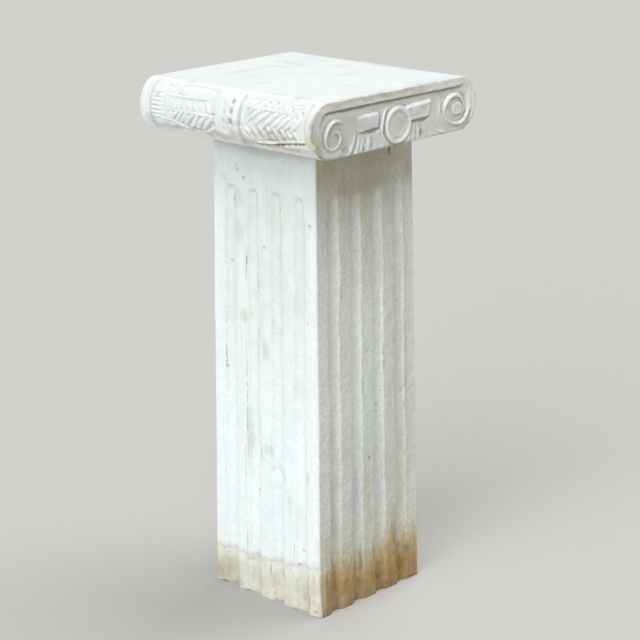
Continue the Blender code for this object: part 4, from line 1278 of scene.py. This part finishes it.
class Graph:
    """A material's nodes, written as sums and mixes of values."""

    def __init__(self, name):
        self.material = bpy.data.materials.new(name)
        self.material.use_nodes = True
        self.tree = self.material.node_tree
        self.place = self.value("ShaderNodeTexCoord", output="Object")

    def put(self, socket, value):
        """Links a socket, or sets a plain value."""
        if isinstance(value, Value):
            self.tree.links.new(value.socket, socket)
        else:
            socket.default_value = value

    def node(self, kind, inputs=(), **settings):
        """A new node, with its settings, and its inputs linked or set."""
        made = self.tree.nodes.new(kind)
        for key, value in settings.items():
            setattr(made, key, value)
        for key, value in dict(inputs).items():
            self.put(made.inputs[key], value)
        return made

    def value(self, kind, inputs=(), output=0, **settings):
        """What a new node gives."""
        return Value(self, self.node(kind, inputs, **settings).outputs[output])

    def math(self, operation, a, b=0.0):
        return self.value("ShaderNodeMath", {0: a, 1: b}, operation=operation)

    def mapped(self, place, location, scale):
        """A place, scaled and then moved."""
        inputs = {"Vector": place, "Location": location, "Scale": scale}
        return self.value("ShaderNodeMapping", inputs)

    def noise(
        self, scale, detail=3.0, roughness=0.55, stretch=(1, 1, 1), distortion=0.0, seed=0.0, output=0
    ):
        """Noise from 0 to 1, with this many features to the metre."""
        place = self.mapped(self.place, (seed * 3.1, seed * 1.7, seed * 2.3), stretch)
        inputs = {
            "Vector": place, "Scale": scale, "Detail": detail, "Roughness": roughness,
            "Distortion": distortion,
        }
        return self.value("ShaderNodeTexNoise", inputs, output)

    def strayed(self, scale, reach, seed=0.0):
        """The place, led astray by noise, for marks with ragged edges."""
        split = self.node("ShaderNodeSeparateColor")
        self.put(split.inputs[0], self.noise(scale, 3, 0.6, seed=seed, output="Color"))
        parts = {axis: Value(self, part) for axis, part in enumerate(split.outputs)}
        inputs = {0: self.value("ShaderNodeCombineXYZ", parts), 1: (2 * reach,) * 3, 2: (-reach,) * 3}
        astray = self.value("ShaderNodeVectorMath", inputs, operation="MULTIPLY_ADD")
        return self.value("ShaderNodeVectorMath", {0: self.place, 1: astray}, operation="ADD")

    def spots(self, place, stains):
        """Soft-edged marks, each with its centre and radii in metres and its strength."""
        total = 0.0
        for centre, radii, strength in stains:
            location = [-c / r for c, r in zip(centre, radii)]
            local = self.mapped(place, location, [1 / r for r in radii])
            away = self.value("ShaderNodeVectorMath", {0: local}, "Value", operation="LENGTH")
            total = self.math("MAXIMUM", away.between(1.25, 0.35) * strength, total)
        return total

    def curve(self, value, points):
        """A value read off a curve through these points, from 0 to 1 both ways."""
        made = self.node("ShaderNodeFloatCurve")
        line = made.mapping.curves[0]
        line.points[0].location, line.points[1].location = points[0], points[-1]
        for point in points[1:-1]:
            line.points.new(*point)
        made.mapping.update()
        self.put(made.inputs["Value"], value)
        return Value(self, made.outputs[0])

    def dots(self, scale, seed=0.0):
        """Distance to the nearest of scattered points, and a random value for each."""
        place = self.mapped(self.place, (seed, -seed, seed * 0.7), (1, 1, 1))
        made = self.node("ShaderNodeTexVoronoi", {"Vector": place, "Scale": scale})
        away, tint = (Value(self, made.outputs[name]) for name in ("Distance", "Color"))
        return away, self.value("ShaderNodeSeparateColor", {0: tint})

    def ramp(self, value, stops):
        """A colour read off between stops, each a value and its colour."""
        low, high = stops[0][0], stops[-1][0]
        share = self.value("ShaderNodeMapRange", {"Value": value, "From Min": low, "From Max": high})
        made = self.node("ShaderNodeValToRGB", {"Fac": share})
        bar = made.color_ramp.elements
        for n, (level, colour) in enumerate(stops):
            place = (level - low) / (high - low)
            element = bar[n] if n < 1 else bar.new(place) if n < len(stops) - 1 else bar[-1]
            element.position = place
            element.color = (*colour, 1)
        return Value(self, made.outputs["Color"])

    def mix(self, share, a, b, blend="MIX"):
        """Colour a, turning to b with the share, or multiplied by it."""
        colours = [colour if isinstance(colour, Value) else (*colour, 1) for colour in (a, b)]
        made = self.node("ShaderNodeMix", data_type="RGBA", blend_type=blend)
        made.clamp_factor = True
        for key, value in zip(("Factor", "A", "B"), (share, *colours)):
            self.put(made.inputs[key], value)
        return Value(self, made.outputs["Result"])

    def mark(self, name):
        """A value kept on the mesh's vertices."""
        return self.value("ShaderNodeAttribute", output="Fac", attribute_name=name)

    def axes(self):
        """The place's x, y and z."""
        made = self.node("ShaderNodeSeparateXYZ", {0: self.place})
        return [Value(self, part) for part in made.outputs]

    def bump(self, height, strength, distance):
        inputs = {"Strength": strength, "Distance": distance, "Height": height}
        return self.value("ShaderNodeBump", inputs)

    def finish(self, colour, roughness, normal):
        """The material, once its shader has these."""
        shader = self.tree.nodes["Principled BSDF"]
        self.put(shader.inputs["Base Color"], colour)
        self.put(shader.inputs["Roughness"], roughness)
        self.put(shader.inputs["Normal"], normal)
        shader.inputs["Specular IOR Level"].default_value = SPECULAR
        return self.material


SPECULAR = 0.35

COOL = (0.80, 0.85, 0.855)
WARM = (0.84, 0.86, 0.83)
VEIN = (0.64, 0.69, 0.71)
VEIN_DARK = (0.46, 0.53, 0.55)
GRAIN = (0.66, 0.69, 0.69)
CLEAN_AND_HIGHLIGHT = (0.93, 0.945, 0.945)
TAN = (0.62, 0.56, 0.42)
SMUDGE_AND_SHADE = (0.50, 0.50, 0.48)
DIRT_AND_SHADE = (0.36, 0.32, 0.26)
SOOT_AND_SHADE = (0.40, 0.38, 0.33)
CRACK_AND_SHADOW = (0.22, 0.19, 0.15)
GRIME_AND_SHADE = (0.42, 0.37, 0.26)
UMBER = (0.25, 0.16, 0.07)
OCHRE = (0.46, 0.27, 0.085)
DAMP = (0.44, 0.38, 0.26)
RUST = (0.17, 0.05, 0.03)
FRESH = (0.82, 0.75, 0.68)
BLEACHED_AND_HIGHLIGHT = (0.88, 0.95, 0.97)
WHITEST = (0.935, 0.985, 1.0)
PALER = (0.84, 0.81, 0.75)
NECK_SHADE = (0.46, 0.50, 0.52)
BEIGE = (0.56, 0.53, 0.44)
GREYED = (0.54, 0.52, 0.46)
SHADED = (0.45, 0.44, 0.42)
# Painted light and shade: a warm light on the fronts, shade on the rolls and a cool shade on the face's
# field
PAINTED_WARM_LIGHT = (1.0, 0.975, 0.95)
ROLL_SHADE_TINT = (0.955, 0.94, 0.93)
COOL_SHADE_TINT = (0.975, 0.99, 1.03)
FLOOR = ((0.525, 0.515, 0.495), (0.545, 0.535, 0.515))

# Tints of the foot's stain, by height over its tide line in metres
FRONT_TINTS = (
    (-0.066, (0.46, 0.3, 0.145)), (-0.05, (0.56, 0.365, 0.165)), (-0.03, (0.62, 0.39, 0.145)),
    (-0.012, (0.68, 0.47, 0.225)), (0.002, (0.77, 0.62, 0.41)), (0.02, (0.88, 0.83, 0.7)),
    (0.05, (0.95, 0.93, 0.86)), (0.1, (1, 1, 1)),
)
SIDE_TINTS = (
    (-0.078, (0.74, 0.66, 0.55)), (-0.058, (0.9, 0.83, 0.73)), (-0.036, (0.82, 0.755, 0.66)),
    (-0.018, (0.93, 0.885, 0.8)), (-0.008, (0.965, 0.94, 0.88)), (-0.0035, (0.81, 0.76, 0.67)),
    (0.001, (0.97, 0.965, 0.945)), (0.008, (1, 1, 1)),
)
# How far each noise of the foot's stain lifts or lowers the tide, on the front and on the left
TIDE_REACH = ((0.070, 0.060, 0.024), (0.012, 0.018, 0.007))
# The shaft's mottling: noise, where it starts and is full, its share on the front and everywhere
MOTTLING = (
    ((320, 4, 0.72, (1, 1, 1), 0.0, 19), (0.44, 0.64), 0.12, 0.10, GREYED),
    ((135, 5, 0.74, (1, 1, 0.7), 0.3, 47), (0.46, 0.64), 0.16, 0.08, GREYED),
    ((30, 5, 0.66, (1, 1, 0.35), 0.5, 33), (0.46, 0.70), 0.06, 0.13, VEIN_DARK),
)


def stone_ground(graph):
    """White marble: cool and warm drifts, faint veins and fine mottling."""
    colour = graph.mix(graph.noise(5, 4).between(0.42, 0.70), COOL, WARM)
    vein = graph.noise(7, 5, 0.6, (1.0, 2.6, 1.4), 1.2, 4)
    colour = colour.to(abs(vein + -0.5).between(0.035, 0.0) * 0.22, VEIN)
    cloud = graph.noise(16, 5, 0.6, distortion=0.6, seed=9).between(0.5, 0.75)
    colour = colour.to(cloud * 0.20, VEIN)
    return colour.to(graph.noise(190, 4, 0.7).between(0.35, 0.65) * 0.16, GRAIN)


def stone_bumps(graph, strength):
    """The height of the worn surface, from soft lumps to fine grain, and a few small pits."""
    height = graph.noise(42, 4, 0.6) * (0.55 * strength)
    height = height + graph.noise(150, 4, 0.62, seed=5) * (0.40 * strength)
    height = height + graph.noise(420, 2, 0.6) * (0.12 * strength)
    away, cell = graph.dots(80, 2.0)
    few = cell.between(0.972, 0.978)
    pit = away.between(0.24, 0.08) * few
    return height + pit * -0.7, pit


def capital_material():
    """The capital's stone, by its marks: dirt and painted shade in hollows, painted highlights on crests,
    tan, soot with painted shade, and smudges; painted shade on the rolls, and painted warm light and cool
    shade on the front face.
    """
    graph = Graph("capital_stone")
    colour = stone_ground(graph)
    height, pit = stone_bumps(graph, 0.8)
    roll = graph.mark("roll")
    # Painted shade: the rolls darker, most over their near half
    nearer = graph.axes()[1].between(-0.07, 0.01) * -0.6 + 1.0
    colour = colour.to(roll * nearer, ROLL_SHADE_TINT, "MULTIPLY")
    front = graph.axes()[1].between(-0.150, -0.164) * (1.0 - roll)
    # Painted warm light on the front face
    colour = colour.to(front, PAINTED_WARM_LIGHT, "MULTIPLY")
    # Painted highlight on crests and upper slopes, stronger on the faces than on the rolls
    colour = colour.to(graph.mark("crest_highlight") * (roll * -0.38 + 0.75), CLEAN_AND_HIGHLIGHT)
    # Dirt and painted shade in the hollows, darker where the soot and shade marks lie on the rolls
    breakup = graph.noise(60, 4, 0.6, distortion=0.4, seed=6)
    hollow_dirt_and_shade = (graph.mark("hollow_dirt_and_shade") * (breakup + 0.5)).between(0.04, 0.70)
    sunk = roll * -0.18 + 0.78
    sunk = sunk + graph.mark("soot_and_shade") * (roll * 0.7)
    colour = colour.to(hollow_dirt_and_shade * sunk, graph.mix(roll, DIRT_AND_SHADE, SHADED))
    # A cool painted shade on the front face below its band
    cool_shade = front * graph.axes()[2].between(0.744, 0.728)
    colour = colour.to(cool_shade, COOL_SHADE_TINT, "MULTIPLY")
    swept = graph.noise(60, 5, 0.68, (0.3, 1, 1.2), 0.5, 17).between(0.46, 0.72)
    colour = colour.to(swept * front * 0.40, GREYED)
    speckle = graph.noise(230, 4, 0.7, seed=19).between(0.42, 0.66)
    colour = colour.to(speckle * front * 0.26, GREYED)
    # Painted highlights from their table, kept out of the hollows
    colour = colour.to(graph.mark("painted_highlight") * graph.mark("hollow_dirt_and_shade").between(0.5, 0.1), CLEAN_AND_HIGHLIGHT)
    smear = graph.noise(90, 4, 0.65, (1, 1, 1.6), 0.4, 8) * 1.1 + 0.45
    # Tan, smudges with painted shade, and soot with painted shade
    for name, tint in (("tan", TAN), ("smudge_and_shade", VEIN_DARK), ("soot_and_shade", SOOT_AND_SHADE)):
        colour = colour.to(graph.mark(name) * smear, tint)
    # Dark dirt and painted shadow
    colour = colour.to(graph.mark("dark_dirt_and_shadow"), CRACK_AND_SHADOW)
    patches = graph.noise(13, 4, 0.6, distortion=0.8, seed=14).between(0.60, 0.78)
    colour = colour.to(patches * 0.16, TAN)
    colour = colour.to(graph.mark("broken") * 0.45, FRESH)
    colour = colour.to(pit * 0.35, DIRT_AND_SHADE)
    roughness = graph.noise(34, 3) * 0.22 + 0.48
    return graph.finish(colour, roughness, graph.bump(height, 0.75, 0.0010))


def over_tide(graph, z, share, points, noises, reaches):
    """The height over the tide line, which runs through points and is frayed by noises."""
    rise = z - graph.curve(share, points) * 0.1
    for noise, reach in zip(noises, reaches):
        rise = rise + (noise + -0.5) * reach
    return rise


def foot_stain(graph, colour, front, x, y, z):
    """The damp foot: strong ochre streaks on the front, and pale damp under a line elsewhere."""
    width = 2 * shaft_half_width(0.05)
    share_front = x * (1 / width) + 0.5
    share_left = y * (-1 / width) + 0.5
    streaks = graph.noise(85, 4, 0.68, (1, 1, 0.12), 0.3, 3)
    blotch = graph.noise(55, 5, 0.68, (1, 1, 0.6), 0.5, 7)
    fine = graph.noise(150, 4, 0.7, (1, 1, 0.5), 0.3, 12)
    noises = (streaks, blotch, fine)
    patchy = graph.noise(24, 4, 0.6, seed=27).between(0.30, 0.62)
    rise = over_tide(graph, z, share_front, FRONT_TIDE, noises, TIDE_REACH[0])
    on_front = colour.to(1.0, graph.ramp(rise, FRONT_TINTS), "MULTIPLY")
    inside_tide = rise.between(0.030, -0.010)
    for noise, low, high, share, tint in (
        (streaks, 0.50, 0.30, 0.50, UMBER), (blotch, 0.52, 0.68, 0.62, OCHRE),
        (patchy, 0.30, 0.05, 0.55, UMBER), (patchy, 0.45, 0.9, 0.26, DAMP),
        (fine, 0.54, 0.70, 0.22, TAN),
    ):
        on_front = on_front.to(noise.between(low, high) * inside_tide * share, tint)
    rise = over_tide(graph, z, share_left, LEFT_TIDE, noises, TIDE_REACH[1])
    on_left = colour.to(patchy * 0.5 + 0.6, graph.ramp(rise, SIDE_TINTS), "MULTIPLY")
    wet = rise.between(0.008, -0.008)
    on_left = on_left.to(graph.mark("flute") * wet * 0.16, DAMP)
    on_left = on_left.to(blotch.between(0.48, 0.66) * wet * 0.50, TAN)
    browner = share_left.between(0.42, 0.05) * rise.between(-0.008, -0.040)
    on_left = on_left.to(browner * 0.42, DAMP)
    on_left = on_left.to(fine.between(0.54, 0.72) * wet * 0.42, SOOT_AND_SHADE)
    return graph.mix(front, on_left, on_front)


def weathered(graph, colour, front, x, y, z):
    """The shaft's stone: bleached on the left; greyer and mottled on the front, with painted warm light
    and painted highlights in its flutes; grime and painted shade under the capital.
    """
    left = 1.0 - front
    colour = colour.to(z.between(0.55, 0.20) * left, BLEACHED_AND_HIGHLIGHT)
    lands = graph.mark("flute").between(0.45, 0.0)
    whitest = lands * left * z.between(0.625, 0.55)
    edge = abs(y).between(0.082, 0.096)
    colour = colour.to(whitest * (edge * 0.30 + 0.45), WHITEST)
    grooves = graph.mark("flute").between(0.2, 0.8) * left
    colour = colour.to(grooves * 0.09, VEIN)
    patches = graph.noise(8, 5, 0.6, (1, 1, 0.5), 0.8, 12).between(0.62, 0.82)
    colour = colour.to(patches * 0.20, TAN)
    for noise, bounds, share_front, share, tint in MOTTLING:
        mottle = graph.noise(*noise).between(*bounds)
        colour = colour.to(mottle * (front * share_front + share), tint)
    combed = graph.noise(70, 4, 0.66, (1, 1, 0.09), 0.3, 41).between(0.50, 0.70)
    colour = colour.to(combed * (z.between(0.20, 0.45) * 0.12 + 0.08), BEIGE)
    # Olive towards the right, deeper where the broadest mottling lies
    olive = x.between(0.02, 0.09) * (front * z.between(0.56, 0.40))
    colour = colour.to(olive * (mottle * 0.16 + 0.05), BEIGE)
    # Painted warm light on the front face
    colour = colour.to(front, PAINTED_WARM_LIGHT, "MULTIPLY")
    washed = z.between(0.56, 0.42) * z.between(0.20, 0.32)
    colour = colour.to(washed * front * 0.42, CLEAN_AND_HIGHLIGHT)
    colour = colour.to(lands * front * 0.10, BEIGE)
    # The front's flutes paler and bluer: partly cleaner stone, partly painted highlight
    flute_clean_and_highlight = graph.mark("flute").between(0.5, 1.0) * front
    flute_clean_and_highlight = flute_clean_and_highlight * (z.between(0.18, 0.34) * 0.5 + 0.5)
    colour = colour.to(flute_clean_and_highlight * 0.70, BLEACHED_AND_HIGHLIGHT)
    speck = graph.noise(230, 4, 0.75, (1, 1, 0.8), seed=52)
    colour = colour.to(speck.between(0.52, 0.66) * (front * 0.20 + 0.06), GREYED)
    colour = colour.to(speck.between(0.46, 0.34) * (front * 0.40 + 0.14), CLEAN_AND_HIGHLIGHT)
    colour = colour.to(x.between(0.080, 0.096) * front * 0.45, CLEAN_AND_HIGHLIGHT)
    # Grime and painted shade under the capital, strong on the front and close under it on the left
    clouds = graph.noise(28, 5, 0.65, (1, 1, 0.5), 0.4, 21) * 1.0 + 0.5
    neck = z.between(0.545, 0.672) * clouds
    close = z.between(0.652, 0.674) * (left * 0.26 + 0.04)
    sided = x.between(0.0, 0.09) * -0.36 + 0.60
    neck_grime_and_shade = neck * (front * sided + (close + 0.26))
    return colour.to(neck_grime_and_shade, graph.mix(front, NECK_SHADE, GRIME_AND_SHADE))


def shaft_material():
    """The shaft's stone with its stains and painted shade under the capital, its foot's damp, and fine
    cracks, dots and drips.
    """
    graph = Graph("shaft_stone")
    colour = stone_ground(graph)
    height, pit = stone_bumps(graph, 1.6)
    x, y, z = graph.axes()
    front = (x - y).between(-0.004, 0.004)
    height = height * (front * 0.7 + 1.0)
    colour = weathered(graph, colour, front, x, y, z)
    smear = graph.noise(80, 4, 0.65, (1, 1, 0.5), 0.4, 8) * 1.1 + 0.45
    # Tan stains and grey smudges, with painted shade under the capital
    colour = colour.to(graph.mark("tan") * smear, TAN)
    colour = colour.to(graph.mark("smudge_and_shade") * smear, SMUDGE_AND_SHADE)
    colour = foot_stain(graph, colour, front, x, y, z)
    # Darker patches, with painted shade under the capital
    colour = colour.to(graph.mark("scorch_and_shade") * smear, UMBER)
    colour = colour.to(graph.mark("paler") * smear, PALER)
    colour = colour.to(graph.mark("broken") * 0.6, FRESH)
    fine = graph.strayed(110, 0.0022, 9)
    gaps = graph.noise(95, 3, 0.6, seed=31).between(0.30, 0.52)
    colour = colour.to(graph.spots(fine, on_shaft(SHAFT_LINES)) * gaps, CRACK_AND_SHADOW)
    colour = colour.to(graph.spots(fine, on_shaft(SHAFT_DOTS)), CRACK_AND_SHADOW)
    colour = colour.to(graph.spots(fine, on_shaft(SHAFT_DRIP)), RUST)
    colour = colour.to(pit * 0.30, DIRT_AND_SHADE)
    roughness = graph.noise(30, 3) * 0.2 + 0.55
    return graph.finish(colour, roughness, graph.bump(height, 1.0, 0.0024))


def floor_material():
    """Plain pale paint."""
    graph = Graph("floor_paint")
    colour = graph.mix(graph.noise(40, 3), *FLOOR)
    return graph.finish(colour, 0.8, graph.bump(graph.noise(180, 2), 0.1, 0.0005))


# Floor, light and camera


FLOOR_REACH = 14


def make_floor():
    mesh = bpy.data.meshes.new("floor")
    corners = [(x * FLOOR_REACH, y * FLOOR_REACH, 0) for x, y in ((-1, -1), (1, -1), (1, 1), (-1, 1))]
    mesh.from_pydata(corners, [], [(0, 1, 2, 3)])
    mesh.materials.append(floor_material())
    floor = bpy.data.objects.new("floor", mesh)
    bpy.context.scene.collection.objects.link(floor)


# Broad lamps, as large as skylights: direction towards each, and power
LAMPS = (
    ("low", (-0.93, -0.18, 0.24), 1.28), ("middle", (-0.80, -0.20, 0.60), 0.62),
    ("high", (-0.45, -0.22, 0.90), 0.70), ("overhead", (0.42, -0.12, 0.90), 1.75),
)
LAMP_WIDTH = math.radians(44)
LAMP_COLOUR = (0.968, 1.0, 1.01)
SKY_COLOUR = (1.03, 1.0, 0.93, 1)
SKY_STRENGTH = 0.30


def make_light():
    world = bpy.data.worlds.new("studio")
    bpy.context.scene.world = world
    world.use_nodes = True
    background = world.node_tree.nodes["Background"]
    background.inputs["Color"].default_value = SKY_COLOUR
    background.inputs["Strength"].default_value = SKY_STRENGTH
    for name, direction, power in LAMPS:
        light = bpy.data.lights.new(name, "SUN")
        light.energy = power
        light.angle = LAMP_WIDTH
        light.color = LAMP_COLOUR
        lamp = bpy.data.objects.new(name, light)
        lamp.rotation_euler = Vector(direction).to_track_quat("Z", "Y").to_euler()
        bpy.context.scene.collection.objects.link(lamp)


# The view point, three metres off and half a metre above the top
VIEW_PLACE = Vector((-1.96112, -1.88034, 1.22467))
VIEW_AZIMUTH, VIEW_PITCH, VIEW_ROLL = -0.8092, 0.2932, -0.0106
SENSOR_WIDTH = 36
# Focal length, in widths of the sensor
FOCAL_WIDTHS = 1953.26 / 640
FARTHEST = 60


def make_camera():
    """The camera at its view point, level but for a slight roll, looking a little down."""
    ahead = Vector((-math.sin(VIEW_AZIMUTH), math.cos(VIEW_AZIMUTH), 0))
    right = Vector((math.cos(VIEW_AZIMUTH), math.sin(VIEW_AZIMUTH), 0))
    up = Vector((0, 0, 1))
    look = math.cos(VIEW_PITCH) * ahead - math.sin(VIEW_PITCH) * up
    tall = math.sin(VIEW_PITCH) * ahead + math.cos(VIEW_PITCH) * up
    across = math.cos(VIEW_ROLL) * right + math.sin(VIEW_ROLL) * tall
    tall = -math.sin(VIEW_ROLL) * right + math.cos(VIEW_ROLL) * tall
    camera = bpy.data.cameras.new("camera")
    camera.sensor_width = SENSOR_WIDTH
    camera.lens = SENSOR_WIDTH * FOCAL_WIDTHS
    camera.clip_end = FARTHEST
    obj = bpy.data.objects.new("camera", camera)
    bpy.context.scene.collection.objects.link(obj)
    axes = Matrix((across, tall, -look)).transposed()
    obj.matrix_world = Matrix.Translation(VIEW_PLACE) @ axes.to_4x4()
    bpy.context.scene.camera = obj


bpy.context.scene.view_settings.view_transform = "Standard"
make_camera()
make_light()
make_floor()
capital = make_capital(capital_material())
shaft = make_shaft(shaft_material())
for piece, node, slot in ((capital, "capital", "capital_marble"), (shaft, "shaft", "shaft_marble")):
    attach(piece, "root")
    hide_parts(node)

bpy.context.view_layer.update()
